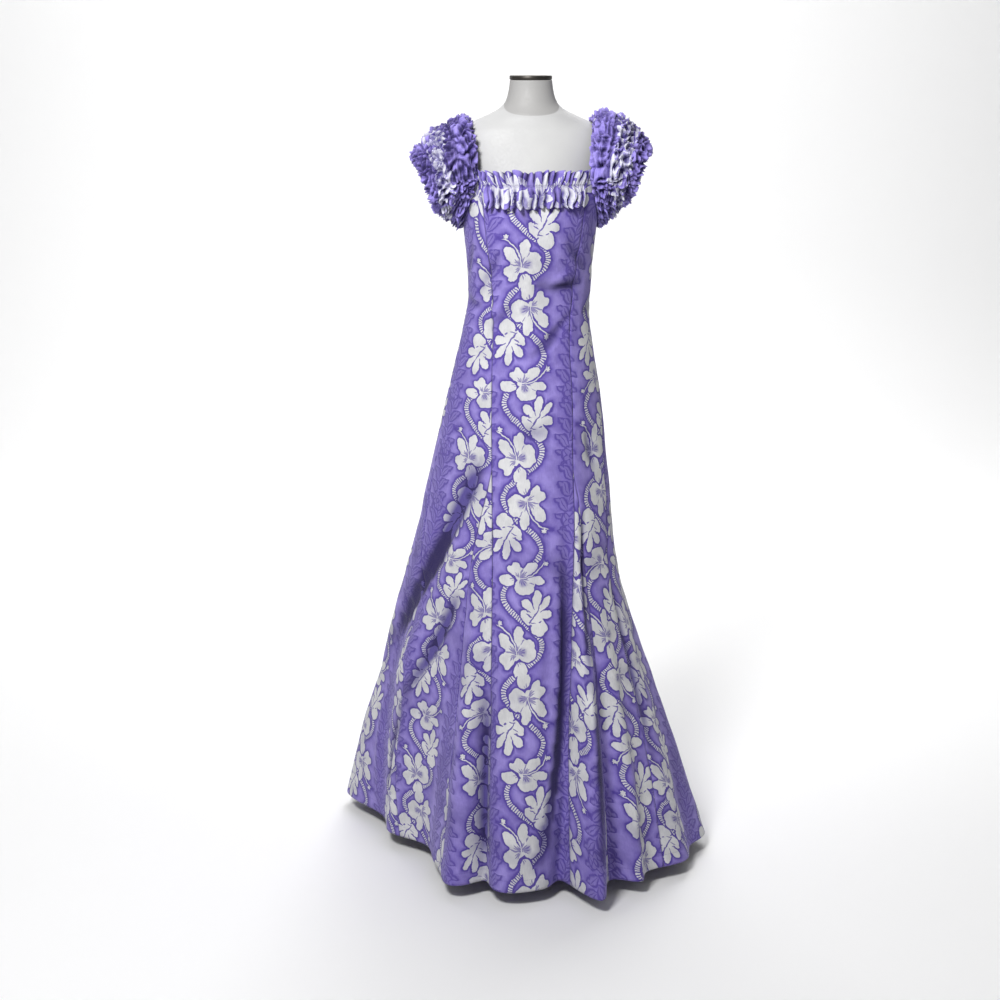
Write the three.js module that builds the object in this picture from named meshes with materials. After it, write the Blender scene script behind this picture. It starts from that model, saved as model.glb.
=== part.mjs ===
// A floor-length Hawaiian gown on a limbless display form, in millimetres, +Z up.
// The origin is the centre of the stand's flat underside. The gown's front faces -Y,
// "left" is the wearer's left (+X) and "right" the wearer's right (-X).
// Angles go round the body from the centre front (0) to the left side (90) and the centre back (180).
import * as THREE from "three";
import { mergeVertices } from "three/addons/utils/BufferGeometryUtils.js";

// Driving sizes
const CLOTH = 1.6; // wall of every cloth piece
const SEAM_GAP = 0.34; // between two pieces that are sewn together
const SEAT_GAP = 0.35; // between a piece and what carries it
const HEM_Z = 30; // the hem hangs clear of the floor
const NECKLINE_Z = 1345; // straight top edge of the front
const BACK_NECKLINE_Z = 1352;
const UNDERARM_Z = 1246;
const GODET_TOP_Z = 795;
const YOKE_Z = 1215; // above it the rows follow the neckline and armholes
const CORNER_ANGLE = 46; // where the neckline turns into the armhole
const BACK_CORNER_ANGLE = 134;

const degrees = THREE.MathUtils.degToRad;
const clamp = THREE.MathUtils.clamp;

// The value of one column of a table at height z, as a smooth curve through the rows.
// Rows go from the top down.
function along(table, column, z) {
  const last = table.length - 1;
  if (z >= table[0].z) return table[0][column];
  if (z <= table[last].z) return table[last][column];
  const i = table.findIndex((row) => row.z <= z) - 1;
  const slope = (k) => {
    const [above, below] = [table[Math.max(k - 1, 0)], table[Math.min(k + 1, last)]];
    return (below[column] - above[column]) / (below.z - above.z);
  };
  const [a, b] = [table[i], table[i + 1]];
  const span = b.z - a.z;
  const t = (z - a.z) / span;
  return (
    a[column] * (1 + 2 * t) * (1 - t) ** 2 +
    slope(i) * span * t * (1 - t) ** 2 +
    b[column] * t * t * (3 - 2 * t) +
    slope(i + 1) * span * t * t * (t - 1)
  );
}

// Outside of the cloth at each height: half widths on the two sides, depths to the front and back,
// and how far the right side is swept back with the train.
const BODY = [
  { z: 1365, right: 153, left: 153, front: 92, back: 80, sweep: 0 },
  { z: 1300, right: 136, left: 134, front: 117, back: 91, sweep: 0 },
  { z: 1245, right: 128, left: 124, front: 126, back: 97, sweep: 0 },
  { z: 1120, right: 120, left: 113, front: 99, back: 82, sweep: 0 },
  { z: 1058, right: 129, left: 113, front: 97, back: 86, sweep: 4 },
  { z: 921, right: 161, left: 134, front: 113, back: 118, sweep: 22 },
  { z: 753, right: 198, left: 152, front: 138, back: 160, sweep: 50 },
  { z: 580, right: 235, left: 171, front: 172, back: 222, sweep: 84 },
  { z: 403, right: 282, left: 223, front: 220, back: 290, sweep: 122 },
  { z: 221, right: 330, left: 283, front: 268, back: 350, sweep: 160 },
  { z: HEM_Z, right: 368, left: 341, front: 303, back: 405, sweep: 200 },
];

// Angles of the seams at each height. A godet lies between the princess seam and its own outer seam.
const SEAMS = [
  { z: 1350, princessR: 41, princessL: 41, sideR: 90, sideL: 90, backR: 139, backL: 139 },
  { z: 1290, princessR: 46, princessL: 46, sideR: 90, sideL: 90, backR: 137, backL: 137 },
  { z: 1220, princessR: 45, princessL: 45, sideR: 90, sideL: 90, backR: 136, backL: 136 },
  { z: 1105, princessR: 40, princessL: 40, sideR: 89, sideL: 89, backR: 140, backL: 140 },
  { z: 1028, princessR: 35.5, princessL: 35.5, sideR: 87, sideL: 86, backR: 142, backL: 142 },
  { z: 907, princessR: 30, princessL: 33, sideR: 82, sideL: 79, backR: 142, backL: 142 },
  { z: GODET_TOP_Z, princessR: 26, princessL: 30, sideR: 78, sideL: 72, backR: 140, backL: 140 },
  { z: 645, princessR: 22, princessL: 25.5, sideR: 72, sideL: 63, backR: 136, backL: 136 },
  { z: 500, princessR: 20, princessL: 20, sideR: 67, sideL: 58, backR: 133, backL: 133 },
  { z: 290, princessR: 18, princessL: 13.5, sideR: 62, sideL: 52, backR: 130, backL: 128 },
  { z: HEM_Z, princessR: 16, princessL: 9.5, sideR: 58, sideL: 46, backR: 128, backL: 125 },
];
const GODETS = [
  { z: GODET_TOP_Z, right: 26, left: 30 },
  { z: 645, right: 32, left: 35 },
  { z: 500, right: 33, left: 34 },
  { z: 290, right: 30.5, left: 27 },
  { z: HEM_Z, right: 30, left: 23 },
];

// Folds of the skirt: each starts at height `top` at angle `from`, and is `depth` out (or in, below 0)
// at height `foot`, at angle `at`, with that half width in degrees.
const FOLDS = [
  { name: "front ridge", top: 700, from: -6, foot: HEM_Z, at: -10.5, depth: 24, width: 7.5 },
  { name: "left seam trough", top: 720, from: 22, foot: HEM_Z, at: 8, depth: -50, width: 5 },
  { name: "left godet pipe", top: 780, from: 31, foot: HEM_Z, at: 14, depth: 84, width: 4.8 },
  { name: "left godet trough", top: 760, from: 38, foot: HEM_Z, at: 25.5, depth: -16, width: 4.5 },
  { name: "left front pipe", top: 560, from: 44, foot: HEM_Z, at: 31, depth: 28, width: 4 },
  { name: "left front trough", top: 620, from: 52, foot: HEM_Z, at: 41, depth: -9, width: 6 },
  { name: "left side pipe", top: 560, from: 64, foot: HEM_Z, at: 55, depth: 12, width: 7 },
  { name: "left side trough", top: 600, from: 78, foot: HEM_Z, at: 69, depth: -11, width: 7 },
  { name: "left edge pipe", top: 560, from: 88, foot: HEM_Z, at: 84, depth: 10, width: 8 },
  { name: "left rear trough", top: 640, from: 104, foot: HEM_Z, at: 101, depth: -22, width: 8 },
  { name: "left rear pipe", top: 700, from: 120, foot: HEM_Z, at: 118, depth: 24, width: 9 },
  { name: "left back trough", top: 700, from: 136, foot: HEM_Z, at: 137, depth: -27, width: 8 },
  { name: "left back pipe", top: 740, from: 152, foot: HEM_Z, at: 155, depth: 25, width: 9 },
  { name: "centre back trough", top: 760, from: 176, foot: HEM_Z, at: 175, depth: -26, width: 8 },
  { name: "right back pipe", top: 740, from: 199, foot: HEM_Z, at: 195, depth: 28, width: 9 },
  { name: "right back trough", top: 700, from: 216, foot: HEM_Z, at: 213, depth: -24, width: 8 },
  { name: "train pipe", top: 740, from: 236, foot: HEM_Z, at: 232, depth: 26, width: 10 },
  { name: "train trough", top: 640, from: 252, foot: HEM_Z, at: 250, depth: -18, width: 8 },
  { name: "train edge pipe", top: 700, from: 266, foot: HEM_Z, at: 263, depth: 22, width: 9 },
  { name: "right side flat", top: 560, from: -80, foot: HEM_Z, at: -77, depth: -62, width: 15 },
  { name: "right front flat", top: 640, from: -44, foot: HEM_Z, at: -49, depth: -64, width: 13 },
  { name: "right side ridge", top: 480, from: -58, foot: HEM_Z, at: -61, depth: 9, width: 5 },
  { name: "right drag line", top: 840, from: -27, foot: 330, at: -92, depth: -13, width: 10 },
  { name: "right godet pipe", top: 760, from: -27, foot: HEM_Z, at: -25, depth: 38, width: 5 },
  { name: "right seam trough", top: 640, from: -22, foot: HEM_Z, at: -17.8, depth: -30, width: 3 },
];
const FOLD_GROWTH = 1.25;

// Shallow dents where the cloth sinks between the points that carry it.
const DENTS = [
  { name: "left hip hollow", z: 815, angle: 52, depth: -7, tall: 85, width: 17 },
  { name: "front hip hollow", z: 838, angle: 4, depth: -4, tall: 45, width: 22 },
  { name: "between the busts", z: 1262, angle: 0, depth: -7, tall: 42, width: 15 },
];

const bell = (x) => Math.exp(-x * x);
const wrapped = (angle) => ((((angle + 180) % 360) + 360) % 360) - 180; // into -180..180

// How far the folds and dents move the cloth out from the plain body, at an angle and a height.
function foldDepth(angle, z) {
  let depth = 0;
  for (const f of FOLDS) {
    const grown = clamp((f.top - z) / (f.top - f.foot), 0, 1);
    const fade = z < f.foot ? Math.max(0, 1 - (f.foot - z) / 160) : 1;
    const centre = f.from + (f.at - f.from) * grown;
    depth += f.depth * fade * grown ** FOLD_GROWTH * bell(wrapped(angle - centre) / f.width);
  }
  for (const d of DENTS)
    depth += d.depth * bell(wrapped(angle - d.angle) / d.width) * bell((z - d.z) / d.tall);
  return depth;
}

// A point of the gown's outside. `out` moves it away from the body.
function gownPoint(angle, z, out = 0) {
  const [s, c] = [Math.sin(degrees(angle)), Math.cos(degrees(angle))];
  const x = s * along(BODY, s > 0 ? "left" : "right", z);
  const swept = s < 0 ? along(BODY, "sweep", z) * s * s : 0;
  const y = -c * along(BODY, c > 0 ? "front" : "back", z) + swept;
  const radius = Math.hypot(x, y);
  const scale = (radius + foldDepth(angle, z) + out) / radius;
  return new THREE.Vector3(x * scale, y * scale, z);
}

const STEP = 0.5; // degrees and millimetres, for slopes
function gownTangent(angle, z) {
  return gownPoint(angle + STEP, z).sub(gownPoint(angle - STEP, z)).normalize();
}
function gownNormal(angle, z) {
  const up = gownPoint(angle, z + STEP).sub(gownPoint(angle, z - STEP));
  return gownTangent(angle, z).cross(up).normalize();
}

// Height of the bodice's top edge: straight at the neckline, dipping under the arm.
function topEdge(angle) {
  const turn = Math.abs(wrapped(angle));
  const front = turn < 90;
  const corner = front ? CORNER_ANGLE : BACK_CORNER_ANGLE;
  const neckline = front ? NECKLINE_Z : BACK_NECKLINE_Z;
  const share = clamp((turn - 90) / (corner - 90), 0, 1);
  return UNDERARM_Z + (neckline - UNDERARM_Z) * share ** 1.5;
}

// A closed body from two matching grids of points, its outside and its inside. Rows go up and
// columns go round from right to left across the front. A wrapped grid closes on its first column.
function wall(outer, inner, wrap = false) {
  const [rows, columns] = [outer.length, outer[0].length];
  const positions = [...outer.flat(), ...inner.flat()].flatMap((p) => p.toArray());
  const out = (r, c) => r * columns + (c % columns);
  const inn = (r, c) => rows * columns + out(r, c);
  const triangles = [];
  const quad = (a, b, c, d) => triangles.push([a, b, c], [a, c, d]);
  const across = wrap ? columns : columns - 1;
  for (let r = 0; r < rows - 1; r++)
    for (let c = 0; c < across; c++) {
      quad(out(r, c), out(r, c + 1), out(r + 1, c + 1), out(r + 1, c));
      quad(inn(r, c), inn(r + 1, c), inn(r + 1, c + 1), inn(r, c + 1));
    }
  for (let c = 0; c < across; c++) {
    const top = rows - 1;
    quad(out(0, c), inn(0, c), inn(0, c + 1), out(0, c + 1));
    quad(out(top, c), out(top, c + 1), inn(top, c + 1), inn(top, c));
  }
  for (let r = 0; r < rows - 1 && !wrap; r++) {
    const end = columns - 1;
    quad(out(r, 0), out(r + 1, 0), inn(r + 1, 0), inn(r, 0));
    quad(out(r, end), inn(r, end), inn(r + 1, end), out(r + 1, end));
  }
  return closedGeometry(positions, triangles.flat());
}

// Merges equal points and drops the triangles that have shrunk to a line, as at a godet's tip.
function closedGeometry(positions, triangles) {
  const loose = new THREE.BufferGeometry();
  loose.setAttribute("position", new THREE.Float32BufferAttribute(positions, 3));
  loose.setIndex(triangles);
  const merged = mergeVertices(loose, 1e-3);
  const kept = [];
  const index = merged.index.array;
  for (let i = 0; i < index.length; i += 3) {
    const [a, b, c] = index.slice(i, i + 3);
    if (a !== b && b !== c && c !== a) kept.push(a, b, c);
  }
  merged.setIndex(kept);
  merged.computeVertexNormals();
  return merged;
}

const CLOTH_LOOK = new THREE.MeshStandardMaterial({ color: 0x8a78cc, roughness: 0.75, metalness: 0 });
const FORM_LOOK = new THREE.MeshStandardMaterial({ color: 0xdedede, roughness: 0.6, metalness: 0 });
const METAL_LOOK = new THREE.MeshStandardMaterial({ color: 0x6a6468, roughness: 0.35, metalness: 0.9 });

function piece(name, geometry, material) {
  const mesh = new THREE.Mesh(geometry, material.clone());
  mesh.name = name;
  return mesh;
}

// Heights of the rows from the hem to the yoke line, with one at the tips of the godets.
const SKIRT_ROWS = [HEM_Z, 125, 220, 315, 410, 505, 595, 680, 740, GODET_TOP_Z];
const BODICE_ROWS = [870, 945, 1015, 1080, 1145, YOKE_Z];
const YOKE_SHARES = [0.5, 1];

// One panel of the gown between two seams, given as functions of the height.
function panel(name, fromSeam, toSeam, columns) {
  const heights = (angle) => [
    ...SKIRT_ROWS,
    ...BODICE_ROWS,
    ...YOKE_SHARES.map((share) => YOKE_Z + share * (topEdge(angle) - YOKE_Z)),
  ];
  const rowCount = heights(0).length;
  const rows = Array.from({ length: rowCount }, (_, r) => (angle) => heights(angle)[r]);
  return clothPanel(name, fromSeam, toSeam, columns, rows);
}

// A godet: a wedge from its tip on the princess seam to the hem.
const TIP_DROP = 7;
function godet(name, fromSeam, toSeam, columns) {
  const tip = GODET_TOP_Z - TIP_DROP;
  const heights = [...SKIRT_ROWS.slice(0, -1), tip];
  const middle = (fromSeam(tip) + toSeam(tip)) / 2;
  const rows = heights.map((z) => () => z);
  return clothPanel(name, fromSeam, toSeam, columns, rows, { z: tip, angle: middle });
}

function clothPanel(name, fromSeam, toSeam, columns, rows, tip = null) {
  const [outer, inner] = [[], []];
  for (const heightAt of rows) {
    const [outerRow, innerRow] = [[], []];
    for (let c = 0; c <= columns; c++) {
      const share = c / columns;
      let z = heightAt(fromSeam(GODET_TOP_Z));
      let angle = 0;
      for (let pass = 0; pass < 4; pass++) {
        angle = fromSeam(z) + (toSeam(z) - fromSeam(z)) * share;
        z = heightAt(angle);
      }
      const atTip = tip !== null && z === tip.z;
      if (atTip) angle = tip.angle;
      const inset = atTip ? 0 : SEAM_GAP / 2 * (c === 0 ? 1 : c === columns ? -1 : 0);
      const point = gownPoint(angle, z).addScaledVector(gownTangent(angle, z), inset);
      outerRow.push(point);
      innerRow.push(point.clone().addScaledVector(gownNormal(angle, z), -CLOTH));
    }
    outer.push(outerRow);
    inner.push(innerRow);
  }
  return piece(name, wall(outer, inner), CLOTH_LOOK);
}

const seam = (column, sign) => (z) => sign * along(SEAMS, column, z);
const godetSeam = (side, sign) => (z) =>
  sign * along(z > GODET_TOP_Z ? SEAMS : GODETS, z > GODET_TOP_Z ? `princess${side[0].toUpperCase()}` : side, z);
const centreBack = (sign) => () => sign * 180;

function gownPanels() {
  return [
    panel("front_center", seam("princessR", -1), seam("princessL", 1), 11),
    godet("front_godet_right", godetSeam("right", -1), seam("princessR", -1), 7),
    godet("front_godet_left", seam("princessL", 1), godetSeam("left", 1), 7),
    panel("side_front_right", seam("sideR", -1), godetSeam("right", -1), 12),
    panel("side_front_left", godetSeam("left", 1), seam("sideL", 1), 12),
    panel("side_back_right", seam("backR", -1), seam("sideR", -1), 13),
    panel("side_back_left", seam("sideL", 1), seam("backL", 1), 13),
    panel("center_back_right", centreBack(-1), seam("backR", -1), 10),
    panel("center_back_left", seam("backL", 1), centreBack(1), 10),
  ];
}

// The neckline frill: one strip gathered on a line, with a short heading above it and a deeper
// fall below. It lies on the bodice at the gathering line and stands away in waves elsewhere.
const FRILL_LINE_DROP = 18; // from the neckline down to the gathering line
const FRILL_REST = 0.5;
const FRILL_LEVELS = [
  { above: -37, stand: 3.2, wave: 6.5 },
  { above: -17, stand: 4, wave: 4.6 },
  { above: 0, stand: 0, wave: 0.3 },
  { above: 13, stand: 2, wave: 3.2 },
  { above: 26, stand: 1.6, wave: 4.6 },
];
const FRILL_COLUMNS = 4; // in each wave
function frill(name, fromAngle, toAngle, waves, necklineZ) {
  const lineZ = necklineZ - FRILL_LINE_DROP;
  const columns = waves * FRILL_COLUMNS;
  const at = (angle, z, stand, wave) => {
    const turn = ((angle - fromAngle) / (toAngle - fromAngle)) * waves;
    const ripple = Math.cos(2 * Math.PI * turn + 0.6 * Math.sin(turn * 1.7));
    const fade = clamp(Math.min(turn, waves - turn), 0, 1); // flat where it runs into the sleeves
    return gownPoint(angle, z, CLOTH + FRILL_REST + stand + wave * fade * (1 + ripple));
  };
  const [outer, inner] = [[], []];
  for (const level of FRILL_LEVELS) {
    const z = lineZ + level.above;
    const [outerRow, innerRow] = [[], []];
    for (let c = 0; c <= columns; c++) {
      const angle = fromAngle + ((toAngle - fromAngle) * c) / columns;
      const point = at(angle, z, level.stand, level.wave);
      const next = at(angle + STEP, z, level.stand, level.wave);
      const normal = next.sub(point).normalize().cross(new THREE.Vector3(0, 0, 1)).normalize();
      outerRow.push(point);
      innerRow.push(point.clone().addScaledVector(normal, -CLOTH));
    }
    outer.push(outerRow);
    inner.push(innerRow);
  }
  return piece(name, wall(outer, inner), CLOTH_LOOK);
}

// The display form: half widths and depths from its flat foot to the top of the neck.
const FORM = [
  { z: 1517, side: 39.5, front: 33, back: 46 },
  { z: 1500, side: 41.5, front: 35, back: 48 },
  { z: 1484, side: 45.5, front: 39, back: 52 },
  { z: 1472, side: 52, front: 43, back: 57 },
  { z: 1462, side: 64, front: 48, back: 62 },
  { z: 1453, side: 82, front: 53, back: 64 },
  { z: 1440, side: 111, front: 58, back: 65 },
  { z: 1427, side: 135, front: 64, back: 67 },
  { z: 1408, side: 145, front: 70, back: 70 },
  { z: 1365, side: 143, front: 83, back: 72 },
  { z: 1300, side: 126, front: 107, back: 82 },
  { z: 1250, side: 116, front: 115, back: 88 },
  { z: 1190, side: 110, front: 100, back: 83 },
  { z: 1120, side: 104, front: 88, back: 73 },
  { z: 1058, side: 105, front: 87, back: 77 },
  { z: 980, side: 116, front: 94, back: 92 },
  { z: 900, side: 126, front: 102, back: 106 },
  { z: 840, side: 127, front: 104, back: 112 },
  { z: 800, side: 124, front: 101, back: 110 },
];
const FORM_SIDES = 28;

function formTorso() {
  const rings = FORM.map((row) =>
    Array.from({ length: FORM_SIDES }, (_, i) => {
      const turn = (2 * Math.PI * i) / FORM_SIDES;
      const depth = Math.cos(turn) > 0 ? row.front : row.back;
      return new THREE.Vector3(row.side * Math.sin(turn), -depth * Math.cos(turn), row.z);
    }),
  ).reverse();
  const points = [...rings.flat()];
  const triangles = [];
  const at = (r, i) => r * FORM_SIDES + (i % FORM_SIDES);
  for (let r = 0; r < rings.length - 1; r++)
    for (let i = 0; i < FORM_SIDES; i++)
      triangles.push(at(r, i), at(r, i + 1), at(r + 1, i + 1), at(r, i), at(r + 1, i + 1), at(r + 1, i));
  for (let i = 1; i < FORM_SIDES - 1; i++) {
    const top = rings.length - 1;
    triangles.push(at(0, 0), at(0, i + 1), at(0, i));
    triangles.push(at(top, 0), at(top, i), at(top, i + 1));
  }
  return piece("form_torso", closedGeometry(points.flatMap((p) => p.toArray()), triangles), FORM_LOOK);
}

// A turned piece from a profile of radius and height.
function turnedPiece(name, profile, sides, material) {
  const lathe = new THREE.LatheGeometry(profile.map(([r, z]) => new THREE.Vector2(r, z)), sides);
  lathe.rotateX(Math.PI / 2);
  lathe.deleteAttribute("uv");
  lathe.deleteAttribute("normal");
  return piece(name, closedGeometry([...lathe.attributes.position.array], [...lathe.index.array]), material);
}

const BASE = { radius: 160, rim: 6, bevel: 8, top: 12, hub: 28, hubFoot: 14, hubTip: 24, hubTop: 34 };
const POLE_RADIUS = 15;
const CAP = { radius: 40, height: 8, bevel: 2 };

function stand() {
  const formFoot = FORM[FORM.length - 1].z;
  const neckTop = FORM[0].z;
  const base = turnedPiece(
    "stand_base",
    [[0, 0], [BASE.radius, 0], [BASE.radius, BASE.rim], [BASE.radius - BASE.bevel, BASE.top],
      [BASE.hub, BASE.hubFoot], [BASE.hubTip, BASE.hubTop], [0, BASE.hubTop]],
    40,
    METAL_LOOK,
  );
  const pole = turnedPiece(
    "stand_pole",
    [[0, BASE.hubTop + SEAT_GAP], [POLE_RADIUS, BASE.hubTop + SEAT_GAP],
      [POLE_RADIUS, formFoot - SEAT_GAP], [0, formFoot - SEAT_GAP]],
    20,
    METAL_LOOK,
  );
  const capFoot = neckTop + SEAT_GAP;
  const cap = turnedPiece(
    "neck_cap",
    [[0, capFoot], [CAP.radius - CAP.bevel, capFoot], [CAP.radius, capFoot + CAP.bevel],
      [CAP.radius, capFoot + CAP.height - CAP.bevel], [CAP.radius - CAP.bevel, capFoot + CAP.height],
      [0, capFoot + CAP.height]],
    28,
    METAL_LOOK,
  );
  cap.position.y = (FORM[0].back - FORM[0].front) / 2;
  return [base, pole, cap];
}

// The sleeve is a ring of cloth round the arm: an edge that runs along the strap, the neckline
// corners and the armhole, three gathered bands between rows of elastic, and an open cuff.
const SLEEVE = {
  strapX: 114, // where the strap's edge lies on the shoulder
  strapZ: 1438.6,
  lap: 3, // the edge covers the bodice's top edge by this much
  lapOut: 0.5, // and its inside lies this far out from the bodice's outside
  cuffX: 190,
  cuffZ: 1324,
  cuffRadius: 47,
  cuffTilt: 30,
  bands: 3,
  waves: 14,
  columns: 56,
  rows: 9,
  puff: 6.5,
  gather: 4.5,
};

// The edge on the body side, at a turn round the arm: 0 at the shoulder, 90 in front, 180 underarm.
// Both sleeves are worked out on the +X side, each on its own side's body. The edge lies flat on
// what carries it, its inside `out` above that.
function armholeEdge(side, turn, out) {
  const [s, c] = [Math.sin(degrees(turn)), Math.cos(degrees(turn))];
  const frontSide = s >= 0;
  const corner = frontSide ? CORNER_ANGLE : BACK_CORNER_ANGLE;
  const onBodice = (angle) => {
    const sign = side === "left" ? 1 : -1;
    const point = gownPoint(sign * angle, topEdge(angle) - SLEEVE.lap, out);
    return point.setX(Math.abs(point.x));
  };
  if (c <= 0) return onBodice(90 + (corner - 90) * Math.abs(s) ** 1.1);
  const foot = onBodice(corner);
  const topZ = SLEEVE.strapZ + out;
  return new THREE.Vector3(
    SLEEVE.strapX + (foot.x - SLEEVE.strapX) * Math.abs(s) ** 2,
    foot.y * Math.abs(s) ** 0.7,
    foot.z + (topZ - foot.z) * c ** 0.7,
  );
}

function cuffEdge(turn) {
  const [s, c] = [Math.sin(degrees(turn)), Math.cos(degrees(turn))];
  const tilt = degrees(SLEEVE.cuffTilt);
  return new THREE.Vector3(
    SLEEVE.cuffX + SLEEVE.cuffRadius * c * Math.sin(tilt),
    -SLEEVE.cuffRadius * s,
    SLEEVE.cuffZ + SLEEVE.cuffRadius * c * Math.cos(tilt),
  );
}

// How far the puff swells beyond the straight line between its edges, at the top of the arm, in
// front and behind it, and under it: away from the arm and sideways, near the body and near the cuff.
const PUFF = {
  right: {
    top: { bodyAway: 20, bodySide: 26, cuffAway: 20, cuffSide: 22 },
    round: { bodyAway: 32, bodySide: 12, cuffAway: 38, cuffSide: 22 },
    under: { bodyAway: -14, bodySide: 15, cuffAway: 6, cuffSide: 18 },
  },
  left: {
    top: { bodyAway: 42, bodySide: 28, cuffAway: 30, cuffSide: 22 },
    round: { bodyAway: 34, bodySide: 12, cuffAway: 40, cuffSide: 22 },
    under: { bodyAway: -16, bodySide: 14, cuffAway: 8, cuffSide: 16 },
  },
};
const SLEEVE_LIFT = { right: 0, left: 14 }; // the left sleeve is pulled up a little higher

// The puffed surface without its gathers, on the +X side. share is 0 at the body and 1 at the cuff.
function sleeveBase(side, turn, share) {
  const [s, c] = [Math.sin(degrees(turn)), Math.cos(degrees(turn))];
  const away = new THREE.Vector3(0, -s, c);
  const mix = (column) =>
    PUFF[side].top[column] * Math.max(c, 0) ** 2 +
    PUFF[side].round[column] * s * s +
    PUFF[side].under[column] * Math.max(-c, 0) ** 2;
  const [a, d] = [armholeEdge(side, turn, SLEEVE.lapOut + CLOTH), cuffEdge(turn)];
  d.z += SLEEVE_LIFT[side];
  const b = a.clone().addScaledVector(away, mix("bodyAway"));
  b.x += mix("bodySide");
  const e = d.clone().addScaledVector(away, mix("cuffAway"));
  e.x += mix("cuffSide");
  return new THREE.CubicBezierCurve3(a, b, e, d).getPoint(share);
}

function sleevePoint(side, turn, share) {
  const base = sleeveBase(side, turn, share);
  const round = sleeveBase(side, turn + 1, share).sub(sleeveBase(side, turn - 1, share));
  const step = 0.01;
  const low = sleeveBase(side, turn, Math.max(share - step, 0));
  const across = sleeveBase(side, turn, Math.min(share + step, 1)).sub(low);
  const normal = across.cross(round).normalize();
  const band = Math.min(Math.floor(share * SLEEVE.bands), SLEEVE.bands - 1);
  const swell = Math.abs(Math.sin(Math.PI * SLEEVE.bands * share)) ** 0.8;
  const ripple = Math.cos(degrees(turn) * SLEEVE.waves + band * 2.1 + 0.9 * Math.sin(degrees(turn) * 3));
  return base.addScaledVector(normal, -swell * (SLEEVE.puff + SLEEVE.gather * ripple));
}

function sleeve(side) {
  const mirror = side === "left" ? 1 : -1;
  const grid = [];
  for (let r = 0; r <= SLEEVE.rows; r++) {
    const row = [];
    for (let c = 0; c < SLEEVE.columns; c++)
      row.push(sleevePoint(side, (360 * c) / SLEEVE.columns, r / SLEEVE.rows));
    grid.push(row);
  }
  const inside = grid.map((row, r) =>
    row.map((point, c) => {
      if (r === 0) return armholeEdge(side, (360 * c) / SLEEVE.columns, SLEEVE.lapOut);
      const next = row[(c + 1) % SLEEVE.columns];
      const previous = row[(c + SLEEVE.columns - 1) % SLEEVE.columns];
      const above = grid[Math.min(r + 1, SLEEVE.rows)][c];
      const below = grid[Math.max(r - 1, 0)][c];
      const round = next.clone().sub(previous);
      const normal = above.clone().sub(below).cross(round).normalize();
      return point.clone().addScaledVector(normal, CLOTH);
    }),
  );
  const placed = (rows) => rows.map((row) => row.map((p) => new THREE.Vector3(p.x * mirror, p.y, p.z)));
  // Mirroring turns the columns' direction, so the mirrored sleeve runs through them backwards.
  const order = (rows) => (mirror < 0 ? rows.map((row) => [...row].reverse()) : rows);
  return piece(`sleeve_${side}`, wall(order(placed(grid)), order(placed(inside)), true), CLOTH_LOOK);
}

const gown = new THREE.Group();
gown.add(formTorso(), ...stand());
gown.add(...gownPanels());
const FRILL_SHORT = 3.5; // degrees that each frill ends before the corner of the neckline
const frontEnd = CORNER_ANGLE - FRILL_SHORT;
const backEnd = BACK_CORNER_ANGLE + FRILL_SHORT;
gown.add(frill("neck_frill_front", -frontEnd, frontEnd, 15, NECKLINE_Z));
gown.add(frill("neck_frill_back", backEnd, 360 - backEnd, 13, BACK_NECKLINE_Z));
gown.add(sleeve("left"), sleeve("right"));
export default gown;
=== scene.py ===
# A long flowered gown on a dress form, in metres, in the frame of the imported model.
import math
from functools import reduce

import bpy
import numpy as np
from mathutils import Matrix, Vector


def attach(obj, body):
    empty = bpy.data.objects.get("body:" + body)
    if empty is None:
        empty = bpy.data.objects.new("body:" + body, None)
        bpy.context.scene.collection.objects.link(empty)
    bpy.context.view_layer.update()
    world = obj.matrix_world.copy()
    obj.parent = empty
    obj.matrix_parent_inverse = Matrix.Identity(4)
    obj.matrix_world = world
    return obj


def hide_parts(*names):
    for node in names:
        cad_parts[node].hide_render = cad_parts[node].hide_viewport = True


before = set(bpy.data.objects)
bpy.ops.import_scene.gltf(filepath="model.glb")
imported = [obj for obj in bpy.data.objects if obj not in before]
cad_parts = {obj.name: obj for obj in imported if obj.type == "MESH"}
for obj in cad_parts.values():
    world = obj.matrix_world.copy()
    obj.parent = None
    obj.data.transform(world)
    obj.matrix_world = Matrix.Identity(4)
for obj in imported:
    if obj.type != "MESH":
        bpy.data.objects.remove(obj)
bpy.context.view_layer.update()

MM = 0.001  # metres in a millimetre


def table(columns, rows):
    """The columns of a table by name."""
    values = np.array(rows, float)
    return {name: values[:, i] for i, name in enumerate(columns.split())}


# Sizes that the solids have too, in millimetres and degrees. An angle is 0 at the front and grows to
# the wearer's left. Heights run down each table.
HEM_Z = 30
NECKLINE_Z = 1345
BACK_NECKLINE_Z = 1352
UNDERARM_Z = 1246
GODET_TOP_Z = 795
GODET_TIP_Z = 788
YOKE_Z = 1215
CORNER_ANGLE = 46
BACK_CORNER_ANGLE = 134

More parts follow.
